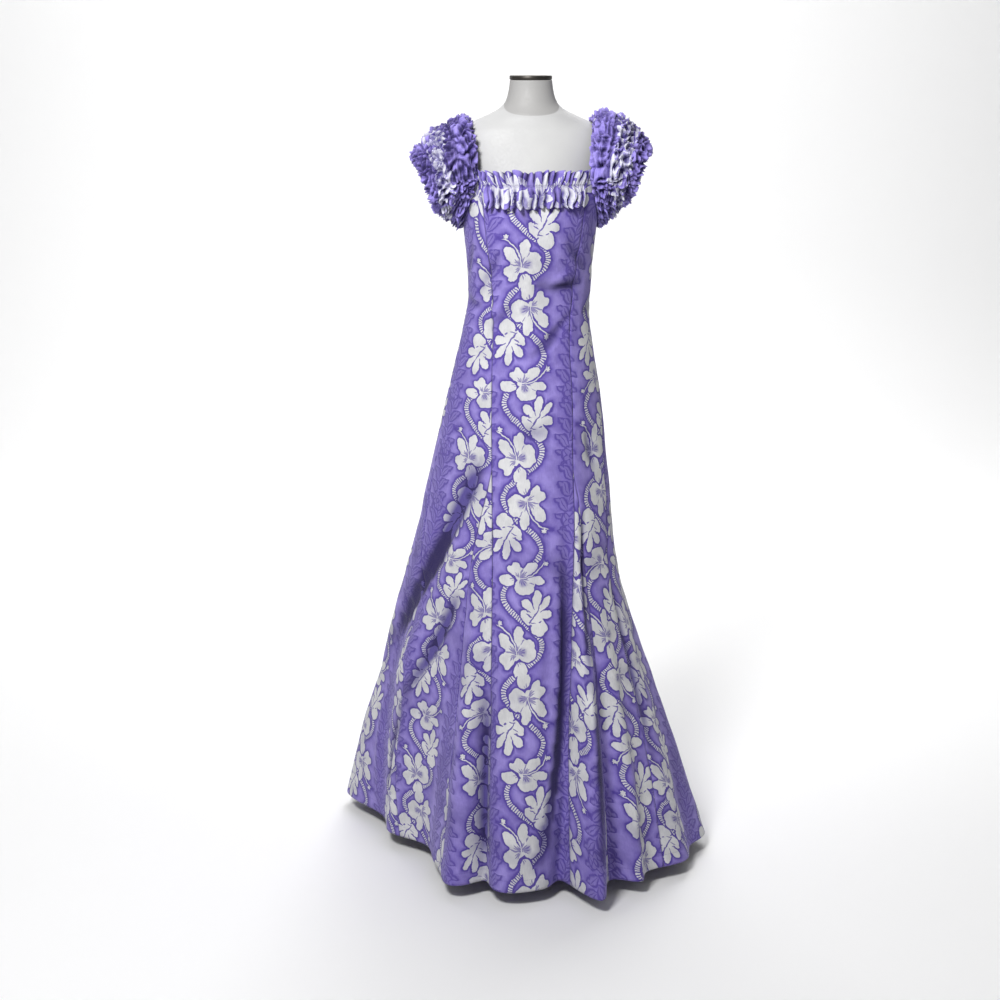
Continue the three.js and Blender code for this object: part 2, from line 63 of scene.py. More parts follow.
BODY = table("z right left front back sweep", [
    (1365, 153, 153, 92, 80, 0),
    (1300, 136, 134, 117, 91, 0),
    (1245, 128, 124, 126, 97, 0),
    (1120, 120, 113, 99, 82, 0),
    (1058, 129, 113, 97, 86, 4),
    (921, 161, 134, 113, 118, 22),
    (753, 198, 152, 138, 160, 50),
    (580, 235, 171, 172, 222, 84),
    (403, 282, 223, 220, 290, 122),
    (221, 330, 283, 268, 350, 160),
    (HEM_Z, 368, 341, 303, 405, 200),
])
SEAMS = table("z princess_r princess_l side_r side_l back_r back_l", [
    (1350, 41, 41, 90, 90, 139, 139),
    (1290, 46, 46, 90, 90, 137, 137),
    (1220, 45, 45, 90, 90, 136, 136),
    (1105, 40, 40, 89, 89, 140, 140),
    (1028, 35.5, 35.5, 87, 86, 142, 142),
    (907, 30, 33, 82, 79, 142, 142),
    (GODET_TOP_Z, 26, 30, 78, 72, 140, 140),
    (645, 22, 25.5, 72, 63, 136, 136),
    (500, 20, 20, 67, 58, 133, 133),
    (290, 18, 13.5, 62, 52, 130, 128),
    (HEM_Z, 16, 9.5, 58, 46, 128, 125),
])
GODETS = table("z right left", [
    (GODET_TOP_Z, 26, 30),
    (645, 32, 35),
    (500, 33, 34),
    (290, 30.5, 27),
    (HEM_Z, 30, 23),
])
# Folds of the skirt: from an angle at height `top` to the angle `at` at height `foot`, where each
# has its whole depth (out, or in below 0) and half width in degrees.
FOLDS = table("top start foot at depth width", [
    (700, -6, HEM_Z, -10.5, 24, 7.5),
    (720, 22, HEM_Z, 8, -50, 5),
    (780, 31, HEM_Z, 14, 84, 4.8),
    (760, 38, HEM_Z, 25.5, -16, 4.5),
    (560, 44, HEM_Z, 31, 28, 4),
    (620, 52, HEM_Z, 41, -9, 6),
    (560, 64, HEM_Z, 55, 12, 7),
    (600, 78, HEM_Z, 69, -11, 7),
    (560, 88, HEM_Z, 84, 10, 8),
    (640, 104, HEM_Z, 101, -22, 8),
    (700, 120, HEM_Z, 118, 24, 9),
    (700, 136, HEM_Z, 137, -27, 8),
    (740, 152, HEM_Z, 155, 25, 9),
    (760, 176, HEM_Z, 175, -26, 8),
    (740, 199, HEM_Z, 195, 28, 9),
    (700, 216, HEM_Z, 213, -24, 8),
    (740, 236, HEM_Z, 232, 26, 10),
    (640, 252, HEM_Z, 250, -18, 8),
    (700, 266, HEM_Z, 263, 22, 9),
    (560, -80, HEM_Z, -77, -62, 15),
    (640, -44, HEM_Z, -49, -64, 13),
    (480, -58, HEM_Z, -61, 9, 5),
    (840, -27, 330, -92, -13, 10),
    (760, -27, HEM_Z, -25, 38, 5),
    (640, -22, HEM_Z, -17.8, -30, 3),
])
FOLD_GROWTH = 1.25
FOLD_FADE = 160  # a fold that ends above the hem fades out in this much height
# Hollows and swellings of the body
DENTS = table("z angle depth tall width", [
    (815, 52, -7, 85, 17),
    (838, 4, -4, 45, 22),
    (1262, 0, -7, 42, 15),
])


def along(rows, column, z):
    """A column's value at each height, as a smooth curve through the rows."""
    heights, values = rows["z"], rows[column]
    z = np.clip(z, heights[-1], heights[0])
    last = len(heights) - 1
    i = np.clip(np.searchsorted(-heights, -z, side="left") - 1, 0, last - 1)
    above = np.maximum(np.arange(last + 1) - 1, 0)
    below = np.minimum(np.arange(last + 1) + 1, last)
    slope = (values[below] - values[above]) / (heights[below] - heights[above])
    span = heights[i + 1] - heights[i]
    t = (z - heights[i]) / span
    return (
        values[i] * (1 + 2 * t) * (1 - t) ** 2
        + slope[i] * span * t * (1 - t) ** 2
        + values[i + 1] * t * t * (3 - 2 * t)
        + slope[i + 1] * span * t * t * (t - 1)
    )


def bell(x):
    return np.exp(-x * x)


def unit(x):
    return np.clip(x, 0, 1)


def turned_by(degrees):
    """The sine and cosine of an angle in degrees."""
    return np.sin(np.radians(degrees)), np.cos(np.radians(degrees))


def lengths(vectors):
    return np.linalg.norm(vectors, axis=-1)


def directions(vectors):
    """The same vectors, each 1 long."""
    return vectors / np.maximum(lengths(vectors), 1e-9)[..., None]


def wrapped(angle):
    return (angle + 180) % 360 - 180


def fold_depth(angle, z):
    """How far the large folds and dents move the cloth out from the plain body."""
    depth = np.zeros(np.broadcast(angle, z).shape)
    for top, start, foot, at, full, width in zip(*FOLDS.values()):
        grown = unit((top - z) / (top - foot))
        fade = np.where(z < foot, unit(1 - (foot - z) / FOLD_FADE), 1)
        centre = start + (at - start) * grown
        depth += full * fade * grown**FOLD_GROWTH * bell(wrapped(angle - centre) / width)
    for height, at, full, tall, width in zip(*DENTS.values()):
        depth += full * bell(wrapped(angle - at) / width) * bell((z - height) / tall)
    return depth


def plain_point(angle, z, out=0.0):
    """A point of the gown without its finer creases, in millimetres."""
    angle, z = np.broadcast_arrays(np.asarray(angle, float), np.asarray(z, float))
    s, c = turned_by(angle)
    x = s * np.where(s > 0, along(BODY, "left", z), along(BODY, "right", z))
    sweep = np.where(s < 0, along(BODY, "sweep", z) * s * s, 0)
    y = -c * np.where(c > 0, along(BODY, "front", z), along(BODY, "back", z)) + sweep
    radius = np.hypot(x, y)
    scale = (radius + fold_depth(angle, z) + out) / radius
    return np.stack([x * scale, y * scale, z], -1)


# Creases finer than the folds: each runs from its first place (angle and height) past its middle to
# its last, and has its depth (out, or in below 0) and half width in millimetres along the middle.
CREASES = table("a0 z0 a1 z1 a2 z2 depth width", [
    # front, bodice
    (56, 1149, 25, 1134, 0, 1146, -5, 9),
    (-7, 1136, -28, 1106, -52, 1072, 3.4, 9),
    (38, 1169, 22, 1154, 9, 1137, 2.8, 8),
    (42, 1095, 15, 1048, -3, 1005, -3.2, 6),
    (27, 1056, 15, 1030, 4, 1010, -2.2, 4),
    (-12, 1128, -28, 1090, -40, 1062, -2.6, 7),
    (-30, 1210, -42, 1170, -60, 1120, -2.2, 8),
    (30, 1232, 41, 1190, 62, 1165, -3, 8),
    (-14, 1290, -8, 1268, 2, 1250, -1.6, 8),
    (12, 1296, 16, 1262, 18, 1230, 1.6, 8),
    (-64, 1225, -74, 1180, -88, 1150, -2.6, 9),
    (66, 1230, 74, 1190, 88, 1165, -2.6, 9),
    (-88, 1118, -70, 1098, -52, 1104, -2.4, 7),
    (88, 1110, 70, 1088, 55, 1092, -2.8, 7),
    # front, hips and skirt
    (-10, 870, 0, 862, 13, 870, -2.6, 14),
    (47, 872, 52, 825, 57, 780, -4, 12),
    (-35, 819, -50, 640, -92, 387, -9, 15),
    (-39, 680, -52, 510, -71, 320, 6, 13),
    (-39, 560, -50, 440, -62, 320, -6, 11),
    (-20.5, 400, -19, 200, -18, 40, -6, 9),
    (-15.5, 540, -14, 350, -12.5, 160, 5, 9),
    (20, 640, 14, 380, -2, 50, -7, 10),
    (37, 720, 29, 555, 21, 390, -5, 7),
    (25, 420, 20, 220, 15, 60, -5, 9),
    (2, 560, 0, 400, -3, 220, 3, 12),
    (62, 640, 58, 420, 53, 200, -4, 10),
    (-62, 300, -66, 180, -70, 60, -5, 11),
    (-84, 300, -82, 170, -80, 50, 5, 12),
    # sides and back
    (-96, 1130, -112, 1108, -132, 1118, -3, 8),
    (96, 1128, 112, 1104, 134, 1112, -3, 8),
    (-140, 1128, -158, 1100, -178, 1108, -3.2, 8),
    (142, 1120, 160, 1096, 178, 1104, -2.6, 8),
    (-150, 1086, -164, 1064, -176, 1030, 2.4, 8),
    (150, 1090, 163, 1060, 175, 1034, 2.4, 8),
    (-122, 1210, -138, 1180, -158, 1172, -2.2, 9),
    (122, 1216, 136, 1178, 156, 1168, -2.2, 9),
    (104, 900, 112, 780, 118, 640, -4, 13),
    (-104, 905, -118, 770, -128, 600, -5, 14),
    (-160, 880, -168, 820, -176, 740, -3.4, 12),
    (160, 880, 166, 800, 172, 720, -3.4, 12),
    (128, 620, 128, 400, 127, 180, 5, 12),
    (146, 560, 147, 360, 148, 160, -6, 11),
    (165, 600, 166, 380, 166, 140, 5, 12),
    (-146, 620, -151, 400, -155, 180, 6, 13),
    (-170, 560, -172, 350, -174, 120, -6, 11),
    (-130, 560, -136, 350, -140, 160, -6, 12),
    (-112, 640, -118, 420, -122, 200, 5, 13),
    (96, 520, 94, 330, 92, 150, -5, 11),
])
CREASE_STEPS = 14
CREASE_GAIN = 1.45  # all creases are this much deeper than the table says
CREASE_MARGIN = 40  # no crease reaches further than this above or below its ends
MEAN_RADIUS = 150
WAVES = 7  # how many waves are added up for an uneven one
WAVE_RADIUS = 200  # the soft waves are laid out on a tube of this size


def crease_depth(angle, z):
    """How far the finer creases move the cloth out."""
    reach = sum(along(BODY, side, z) for side in ("left", "right", "front", "back")) / 4
    depth = np.zeros(angle.shape)
    steps = np.linspace(0, 1, CREASE_STEPS)
    for a0, z0, a1, z1, a2, z2, full, width in zip(*CREASES.values()):
        if z.min() > max(z0, z2) + CREASE_MARGIN or z.max() < min(z0, z2) - CREASE_MARGIN:
            continue
        across = np.radians(a2 - a0) * MEAN_RADIUS
        lean = np.hypot(z2 - z0, across)
        run = np.array([across, z2 - z0]) / lean
        best = np.full(angle.shape, np.inf)
        place = np.zeros(angle.shape)
        for t in steps:
            at = a0 * (1 - t) ** 2 + 2 * a1 * t * (1 - t) + a2 * t * t
            height = z0 * (1 - t) ** 2 + 2 * z1 * t * (1 - t) + z2 * t * t
            sideways = np.radians(wrapped(angle - at)) * reach
            # Between two steps the line goes on, so a distance along it counts for less.
            forward = sideways * run[0] + (z - height) * run[1]
            aside = np.hypot(sideways, z - height) ** 2 - forward**2
            beyond = np.maximum(np.abs(forward) - lean / CREASE_STEPS, 0)
            distance = np.sqrt(np.maximum(aside, 0) + beyond**2)
            closer = distance < best
            best = np.where(closer, distance, best)
            place = np.where(closer, unit(t + forward / lean), place)
        depth += CREASE_GAIN * full * bell(best / width) * np.sin(np.pi * place) ** 0.7
    return depth


def ripples(a, b, size, seed):
    """Soft irregular waves between about -1 and 1, of about that length."""
    pick = np.random.RandomState(seed)
    total = np.zeros(np.broadcast(a, b).shape)
    for _ in range(WAVES):
        turn = pick.uniform(0, math.tau)
        length = size * pick.uniform(0.7, 1.5)
        phase = pick.uniform(0, math.tau)
        total += np.sin(math.tau * (a * math.cos(turn) + b * math.sin(turn)) / length + phase)
    return total / math.sqrt(WAVES) / 1.4


def gown_point(angle, z, out):
    """A point of the gown's outside, in millimetres."""
    angle, z = np.broadcast_arrays(np.asarray(angle, float), np.asarray(z, float))
    fine = crease_depth(angle, z)
    s, c = turned_by(angle)
    x, y = s * WAVE_RADIUS, -c * WAVE_RADIUS
    loose = np.clip((1000 - z) / 400, 0.25, 1)
    fine = fine + 0.9 * loose * (ripples(x + 0.5 * y, z, 70, 3) + ripples(y - 0.4 * x, z, 130, 8))
    return plain_point(angle, z, out + fine)


def normals(points, wrap=False):
    """Unit vectors out of a grid whose rows go up and whose columns go from right to left."""
    if wrap:
        across = np.roll(points, -1, 1) - np.roll(points, 1, 1)
    else:
        across = np.gradient(points, axis=1)
    up = np.gradient(points, axis=0)
    return directions(np.cross(across, up))


def flattened(points):
    """The grid unrolled on a table: places (right, up) in millimetres, with level rows."""
    middle = points.shape[1] // 2
    step = lengths(np.diff(points, axis=1))
    arc = np.concatenate([np.zeros((len(points), 1)), np.cumsum(step, 1)], 1)
    arc -= arc[:, middle : middle + 1]
    level = directions(points[:, min(middle + 3, points.shape[1] - 1)] - points[:, max(middle - 3, 0)])
    climb = np.diff(points[:, middle], axis=0)
    along_row = (climb * (level[1:] + level[:-1]) / 2).sum(-1)
    rise = np.sqrt(np.maximum((climb**2).sum(-1) - along_row**2, 0))
    x = np.concatenate([[0], np.cumsum(along_row)])[:, None] + arc
    y = np.concatenate([[0], np.cumsum(rise)])[:, None] + np.zeros_like(arc)
    return np.stack([x, y], -1)


CLOTH = 0.8  # thickness of the finer cloth
TURNED_AT = 85  # a print turned end for end looks the same again from this place on
SEAM_GAP = 0.34  # between two panels
SEAM_TUCK = 1.5  # the edges turn in at a seam
SEAM_PUCKER = 0.55
SEAM_COLUMNS = (0, 0.9, 2.0, 3.6)  # places of the first columns beside a seam
NARROW = 26  # a narrower row has them closer together
COLUMN = 5.2  # spacing of the finer grids
ROW = 5.5
YOKE_ROWS = 26  # rows above the level where they start to follow the top edge
FULL_SHADE_DEPTH = 7  # the painted shade in a crease is darkest at this depth
FOLD_ALLOWANCE = 1.03


def wall_faces(rows, columns, ring):
    """Corner places (layer, row, column) of the faces of a closed wall of two grids."""
    corner = np.moveaxis(np.indices((2, rows, columns + 1)), 0, -1)
    grids = [(corner[0], 1), (corner[1], -1), (corner[:, 0], -1), (corner[:, -1], 1)]
    if not ring:
        grids += [(corner[:, :, 0], 1), (corner[:, :, -1], -1)]
    faces = []
    for grid, way in grids:
        quads = np.stack([grid[:-1, :-1], grid[:-1, 1:], grid[1:, 1:], grid[1:, :-1]], 2).reshape(-1, 4, 3)
        faces.append(quads[:, np.arange(4) * way])
    return np.concatenate(faces)


def made_piece(name, points, faces, flat_faces=0):
    """A new object from points in metres, smooth but for its last flat faces."""
    mesh = bpy.data.meshes.new(name)
    mesh.from_pydata(points, [], faces)
    smooth = np.arange(len(faces)) < len(faces) - flat_faces
    mesh.polygons.foreach_set("use_smooth", smooth)
    mesh.update()
    piece = bpy.data.objects.new(name, mesh)
    bpy.context.scene.collection.objects.link(piece)
    return piece


def shell(name, outer, inner, maps, wrap=False):
    """A closed piece of cloth between two grids of points, in millimetres, with its UV maps.
    A map's grid has a place for each point, and one column more where the piece is a ring."""
    rows, count = outer.shape[:2]
    layer, r, c = np.moveaxis(wall_faces(rows, count if wrap else count - 1, wrap), -1, 0)
    index = layer * rows * count + r * count + c % count
    points = np.concatenate([outer.reshape(-1, 3), inner.reshape(-1, 3)]) * MM
    piece = made_piece(name, points.tolist(), index.tolist())
    for label, places in maps.items():
        layer_map = piece.data.uv_layers.new(name=label)
        layer_map.data.foreach_set("uv", places[r, c].astype(np.float32).ravel())
    return piece


def across_places(width, columns):
    """Shares of the way across, closer together beside the two seams, for each row's width."""
    scale = np.minimum(1, width / NARROW)[:, None]
    left = np.array(SEAM_COLUMNS) * scale / width[:, None]
    middle = np.linspace(0, 1, columns + 2)[None, 1:-1]
    inside = left[:, -1:] + (1 - 2 * left[:, -1:]) * middle
    return np.concatenate([left, inside, 1 - left[:, ::-1]], 1)


def seam(column, sign):
    return lambda z: sign * along(SEAMS, column, z)


def godet_seam(side, sign):
    """A godet's outer edge, which is the princess seam above the godet."""
    def angle(z):
        above = along(SEAMS, "princess_" + side[0], z)
        return sign * np.where(z > GODET_TOP_Z, above, along(GODETS, side, z))

    return angle


def level_angle(angle):
    return lambda z: np.full(np.shape(z), float(angle))


def top_edge(angle):
    """Height of the bodice's top edge: straight at the neckline, dipping under the arm."""
    turn = np.abs(wrapped(angle))
    front = turn < 90
    corner = np.where(front, CORNER_ANGLE, BACK_CORNER_ANGLE)
    neckline = np.where(front, NECKLINE_Z, BACK_NECKLINE_Z)
    share = unit((turn - 90) / (corner - 90))
    return UNDERARM_Z + (neckline - UNDERARM_Z) * share**1.5


PRINCESS_LEFT = seam("princess_l", 1)
GODET_RIGHT = godet_seam("right", -1)
GODET_LEFT = godet_seam("left", 1)

# The panels: their seams, and where a stripe of flowers runs: a higher place and a lower place
# (angle and height), each with its place along the print's repeat. Some are cut upside down.
PANELS = [
    ("front_center", seam("princess_r", -1), PRINCESS_LEFT, (-3.6, 1188, 0, -3.4, 108, 1100), False),
    ("front_godet_right", GODET_RIGHT, seam("princess_r", -1), (-22.5, 531, 0, -20.5, 222, 365), True),
    ("front_godet_left", PRINCESS_LEFT, GODET_LEFT, (2.5, 500, -190, 8, 240, 85), True),
    ("side_front_right", seam("side_r", -1), GODET_RIGHT, (-37, 819, 0, -50.5, 177, 730), False),
    ("side_front_left", GODET_LEFT, seam("side_l", 1), (48.5, 640, -173, 39, 261, 230), True),
    ("side_back_right", seam("back_r", -1), seam("side_r", -1), (-100, 1000, -560, -91, 126, 450), False),
    ("side_back_left", seam("side_l", 1), seam("back_l", 1), (71, 478, 6, 59.5, 165, 388), False),
    ("center_back_right", level_angle(-180), seam("back_r", -1), (-160, 1100, 60, -155, 150, 1030), True),
    ("center_back_left", seam("back_l", 1), level_angle(180), (160, 1100, 200, 156, 150, 1170), False),
]


def panel_places(from_seam, to_seam, godet):
    """The angle and height of each point of a panel's grid, and how far it lies from each seam."""
    top = GODET_TIP_Z if godet else YOKE_Z
    levels = np.linspace(HEM_Z, top, int((top - HEM_Z) / ROW))
    shares = np.linspace(0, 1, YOKE_ROWS)[1:, None]
    probe_z = levels
    if not godet:
        probe_z = np.concatenate([levels, np.linspace(YOKE_Z, NECKLINE_Z, YOKE_ROWS)[1:]])
    left = plain_point(from_seam(probe_z), probe_z)
    right = plain_point(to_seam(probe_z), probe_z)
    width = np.maximum(lengths(right - left) * FOLD_ALLOWANCE, 0.5)
    columns = max(int(width.max() / COLUMN), 12)
    across = across_places(width, columns)
    z = np.repeat(probe_z[:, None], across.shape[1], 1)
    # The top edge's height depends on the angle, and the angle on the height, so they are found in turns.
    for _ in range(6):
        start, end = from_seam(z), to_seam(z)
        angle = start + (end - start) * across
        if not godet:
            yoke = YOKE_Z + shares * (top_edge(angle[len(levels):]) - YOKE_Z)
            z = np.concatenate([z[: len(levels)], yoke])
    return angle, z, across * width[:, None], (1 - across) * width[:, None]


def interpolate(angle, z, flat, at_angle, at_z):
    """The unrolled place of a point of a panel, from its nearest points."""
    gap = ((angle - at_angle) * 3.0) ** 2 + (z - at_z) ** 2
    nearest = np.argsort(gap.ravel())[:4]
    weight = 1 / (gap.ravel()[nearest] + 1)
    return (flat.reshape(-1, 2)[nearest] * weight[:, None]).sum(0) / weight.sum()


def print_places(flat, high, high_t, low, low_t, upside_down):
    """Places in the print, across and down it in metres, of the points of an unrolled piece."""
    run = low - high
    length = np.hypot(*run)
    down = run / length
    right = np.array([-down[1], down[0]])
    t = high_t + (flat - high) @ down * (low_t - high_t) / length
    s = (flat - high) @ right
    if upside_down:
        s, t = -s, TURNED_AT - t
    return np.stack([s, t], -1) * MM


def make_panel(name, from_seam, to_seam, stripe, upside_down):
    """A panel's piece and its unrolled shape."""
    angle, z, from_left, from_right = panel_places(from_seam, to_seam, "godet" in name)
    edge = np.minimum(from_left, from_right)
    pucker = ripples(z + angle, z * 0.4, 21, 5 + len(name)) * SEAM_PUCKER * np.exp(-edge / 11)
    tuck = -SEAM_TUCK * np.exp(-((edge / 1.7) ** 2))
    outer = gown_point(angle, z, tuck + pucker)
    plain = plain_point(angle, z)
    sideways = directions(np.gradient(plain, axis=1))
    outer[:, 0] += sideways[:, 0] * SEAM_GAP / 2
    outer[:, -1] -= sideways[:, -1] * SEAM_GAP / 2
    inner = outer - normals(outer) * CLOTH
    flat = flattened(outer)
    a0, z0, t0, a1, z1, t1 = stripe
    high = interpolate(angle, z, flat, a0, z0)
    low = interpolate(angle, z, flat, a1, z1)
    relief = lengths(outer[..., :2]) - lengths(plain[..., :2])
    maps = {
        "Print": print_places(flat, high, t0, low, t1, upside_down),
        "Edges": np.stack([edge, z - HEM_Z], -1) * MM,
        # Painted shade in the creases, darker the deeper they are, and no painted highlight
        "PaintedShadeAndHighlight": np.stack([unit(-relief / FULL_SHADE_DEPTH), 0 * z], -1),
    }
    return shell("cloth_" + name, outer, inner, maps), flat


def declare_cut(flat):
    """Works out the cross products of the diagonals of the unrolled shape's faces, and keeps nothing of
    them.
    """
    a, b, c, d = flat[:-1, :-1], flat[:-1, 1:], flat[1:, 1:], flat[1:, :-1]
    cross = (c - a)[..., 0] * (d - b)[..., 1] - (c - a)[..., 1] * (d - b)[..., 0]


# The frills: a strip gathered on a line, with a short heading above it and a deeper fall below.
# At each height over that line: how far the strip stands off the bodice, and how deep its waves are.
FRILL_LINE_DROP = 18
FRILL_FALL = 38
FRILL_HEADING = 26
FRILL_LEVELS = table("z stand wave", [
    (FRILL_HEADING, 1.2, 6.4),
    (13, 1.5, 4.6),
    (3, 0.6, 1.3),
    (0, 0.2, 0.2),
    (-3, 0.8, 1.6),
    (-17, 2.6, 6.0),
    (-FRILL_FALL, 2.2, 8.0),
])
FRILL_SHORT = 3.5  # a frill ends this many degrees before the neckline's corner
FRILL_REST = 1.0
FRILL_STITCH = 16
FRILL_COLUMNS = 26  # for each gather
FAR_FROM_SEAM = 400
FRILL_CUT = 1.75  # how much longer the strip is cut than the line that it is gathered on
GATHERS = 64  # different gathers before the same ones come again


def frill_wave(turn, seed):
    """Heights from 0 to 1 of uneven gathers, with a sharp valley between each two."""
    pick = np.random.RandomState(seed)
    size = pick.uniform(0.62, 1.25, GATHERS)
    lean = pick.uniform(-0.16, 0.16, GATHERS)
    turn = turn + 0.13 * np.sin(turn * 1.9 + seed) + 0.09 * np.sin(turn * 4.3)
    whole = np.floor(turn).astype(int)
    part = turn - whole + lean[whole % GATHERS] * np.sin(np.pi * (turn - whole))
    return size[whole % GATHERS] * np.sin(np.pi * unit(part)) ** 0.85


def make_frill(name, from_angle, to_angle, waves, neckline, seed):
    """A frill's piece and the length of its gathering line."""
    line = neckline - FRILL_LINE_DROP
    columns = waves * FRILL_COLUMNS
    fall, heading = np.linspace(-FRILL_FALL, -4, 20), np.linspace(4.5, FRILL_HEADING, 13)
    levels = np.concatenate([fall, np.linspace(-3, 3, 7), heading])
    above, turn = np.meshgrid(levels, np.linspace(0, waves, columns + 1), indexing="ij")
    angle = from_angle + (to_angle - from_angle) * turn / waves
    fade = unit(np.minimum(turn, waves - turn) / 0.8)
    away = unit(np.abs(above) / 24)
    drift = 0.35 * away * ripples(turn * 10, above, 36, seed)
    lower = frill_wave(turn + drift, seed)
    upper = frill_wave(turn * 1.15 + 0.4 + drift, seed + 1)
    wave = np.where(above < 0, lower, upper)
    small = np.exp(-np.abs(above) / 9) * (0.5 + 0.5 * np.cos(math.tau * turn * 2.6 + 1.3 * np.sin(turn)))
    stand = along(FRILL_LEVELS, "stand", above) + 1.6 * small * np.clip(np.abs(above) / 3, 0.25, 1)
    out = FRILL_REST + CLOTH + stand + 1.55 * along(FRILL_LEVELS, "wave", above) * wave * fade
    crumple = 0.5 * away * ripples(turn * 14, above * 1.6, 13, seed + 4)
    # The free edges rise and fall with the waves.
    stray = 1.6 * away * ripples(turn * 9, above, 30, seed + 7)
    drop = above + 5.2 * away * (wave - 0.5) * np.sign(above) + stray
    outer = plain_point(angle, line + drop, out + crumple)
    inner = outer - normals(outer) * CLOTH
    length = lengths(np.diff(plain_point(angle[0], line), axis=0)).sum()
    # Each gather hides some of the strip, so the print jumps a little from one to the next.
    # Painted shade in the valleys between gathers and along the gathering line, and painted highlight on
    # the crests
    gather_shade = unit(1.32 - 1.6 * wave) ** 1.2 * np.clip(np.abs(above) / 12, 0.25, 1)
    gather_shade = unit(gather_shade * unit(fade * 2) + 0.35 * bell(above / 2.6))
    painted_highlight = 0.5 * unit(1.6 * wave - 0.5) * (1 - gather_shade)
    hidden = 17 * np.round(turn + drift) + 3 * ripples(turn * 12, above, 40, seed + 2)
    s = above + 21 + 4 * ripples(above, turn * 12, 30, seed + 3)
    t = turn / waves * length * FRILL_CUT + hidden + 40 * seed
    maps = {
        "Print": np.stack([s, t], -1) * MM,
        "Edges": np.stack([FAR_FROM_SEAM + 0 * above, above + FRILL_FALL + FRILL_STITCH], -1) * MM,
        "PaintedShadeAndHighlight": np.stack([gather_shade, painted_highlight], -1),
    }
    return shell("cloth_" + name, outer, inner, maps), length


# The sleeves: the same edges and puff as the solids have, with many more gathers.
STRAP_X, STRAP_Z = 114, 1438.6
LAP, LAP_OUT = 3, 1.0  # how far a sleeve reaches down over the bodice, and its clearance there
CUFF_X, CUFF_Z, CUFF_RADIUS, CUFF_TILT = 190, 1324, 47, 30
BANDS = 3
BAND_PUFF, GATHER_DEPTH = 5.5, 7.5
# How far the curve of a puff reaches out and sideways, near the body and near the cuff
PUFF = {
    "right": {"top": (20, 26, 20, 22), "round": (32, 12, 38, 22), "under": (-14, 15, 6, 18)},
    "left": {"top": (42, 28, 30, 22), "round": (34, 12, 40, 22), "under": (-16, 14, 8, 16)},
}
SLEEVE_LIFT = {"right": 0, "left": 14}  # how much higher the cuff is
SLEEVE_COLUMNS = 380
SLEEVE_ROWS = 120
SLEEVE_AROUND = 520
SLEEVE_ACROSS = 170
SLEEVE_PRINT = (264, 1095)  # how much of the print a sleeve takes across its bands and round the arm
PUFFS_AROUND = 25
PUFFS_ACROSS = 7


def armhole_edge(side, turn, out):
    """The edge on the body side at each turn round the arm, worked out on the +X side."""
    s, c = turned_by(turn)
    corner = np.where(s >= 0, CORNER_ANGLE, BACK_CORNER_ANGLE)

    def on_bodice(angle):
        sign = 1 if side == "left" else -1
        point = plain_point(sign * angle, top_edge(angle) - LAP, out)
        point[..., 0] = np.abs(point[..., 0])
        return point

    low = on_bodice(90 + (corner - 90) * np.abs(s) ** 1.1)
    foot = on_bodice(corner.astype(float))
    top_z = STRAP_Z + out
    c_up = np.maximum(c, 0)
    high = np.stack([
        STRAP_X + (foot[:, 0] - STRAP_X) * np.abs(s) ** 2,
        foot[:, 1] * np.abs(s) ** 0.7,
        foot[:, 2] + (top_z - foot[:, 2]) * c_up**0.7,
    ], -1)
    return np.where((c <= 0)[:, None], low, high)


def sleeve_base(side, turn, share):
    """The puffed surface without its gathers: rows from the body (share 0) to the cuff (share 1)."""
    s, c = turned_by(turn)
    away = np.stack([0 * s, -s, c], -1)
    weights = {"top": np.maximum(c, 0) ** 2, "round": s * s, "under": np.maximum(-c, 0) ** 2}
    swell = sum(np.array(PUFF[side][part])[None, :] * weight[:, None] for part, weight in weights.items())
    tilt = math.radians(CUFF_TILT)
    a = armhole_edge(side, turn, LAP_OUT + CLOTH)
    d = np.stack([
        CUFF_X + CUFF_RADIUS * c * math.sin(tilt),
        -CUFF_RADIUS * s,
        CUFF_Z + SLEEVE_LIFT[side] + CUFF_RADIUS * c * math.cos(tilt),
    ], -1)
    sideways = np.array([1.0, 0, 0])
    b = a + away * swell[:, :1] + sideways * swell[:, 1:2]
    e = d + away * swell[:, 2:3] + sideways * swell[:, 3:4]
    k = share[:, None, None]
    return a * (1 - k) ** 3 + b * 3 * k * (1 - k) ** 2 + e * 3 * k * k * (1 - k) + d * k**3


def pillows(u, v, period, seed):
    """Rounded lumps with sharp creases between them, about one in each unit square, from 0 to 1.
    The pattern comes round again after `period` units of u."""
    pick = np.random.RandomState(seed)
    rows = int(np.ceil(v.max())) + 3
    seeds = pick.uniform(0.08, 0.92, (rows, period, 2))
    height = pick.uniform(0.55, 1.0, (rows, period))
    cell_u, cell_v = np.floor(u).astype(int), np.floor(v).astype(int)
    nearest = np.full(u.shape, np.inf)
    second = np.full(u.shape, np.inf)
    tall = np.zeros(u.shape)
    for du in (-1, 0, 1):
        for dv in (-1, 0, 1):
            i, j = cell_v + dv + 1, (cell_u + du) % period
            gap = np.hypot(u - cell_u - du - seeds[i, j, 0], v - cell_v - dv - seeds[i, j, 1])
            closer = gap < nearest
            second = np.where(closer, nearest, np.minimum(second, gap))
            tall = np.where(closer, height[i, j], tall)
            nearest = np.where(closer, gap, nearest)
    rim = unit((second - nearest) * 1.7)
    return tall * np.sqrt(rim) * (1 - 0.35 * nearest)


def crumple(u, v, wave, seed):
    """Uneven waves of about that length on a sleeve, from -1 to 1, that meet where it closes."""
    pick = np.random.RandomState(seed)
    total = np.zeros(u.shape)
    for _ in range(WAVES):
        turn = pick.uniform(0, math.pi)
        long = wave * pick.uniform(0.75, 1.45)
        n = np.round(SLEEVE_AROUND / long * math.cos(turn))
        m = SLEEVE_ACROSS / long * math.sin(turn)
        total += np.sin(math.tau * (n * u + m * v) + pick.uniform(0, math.tau))
    return total / math.sqrt(WAVES) / 1.4


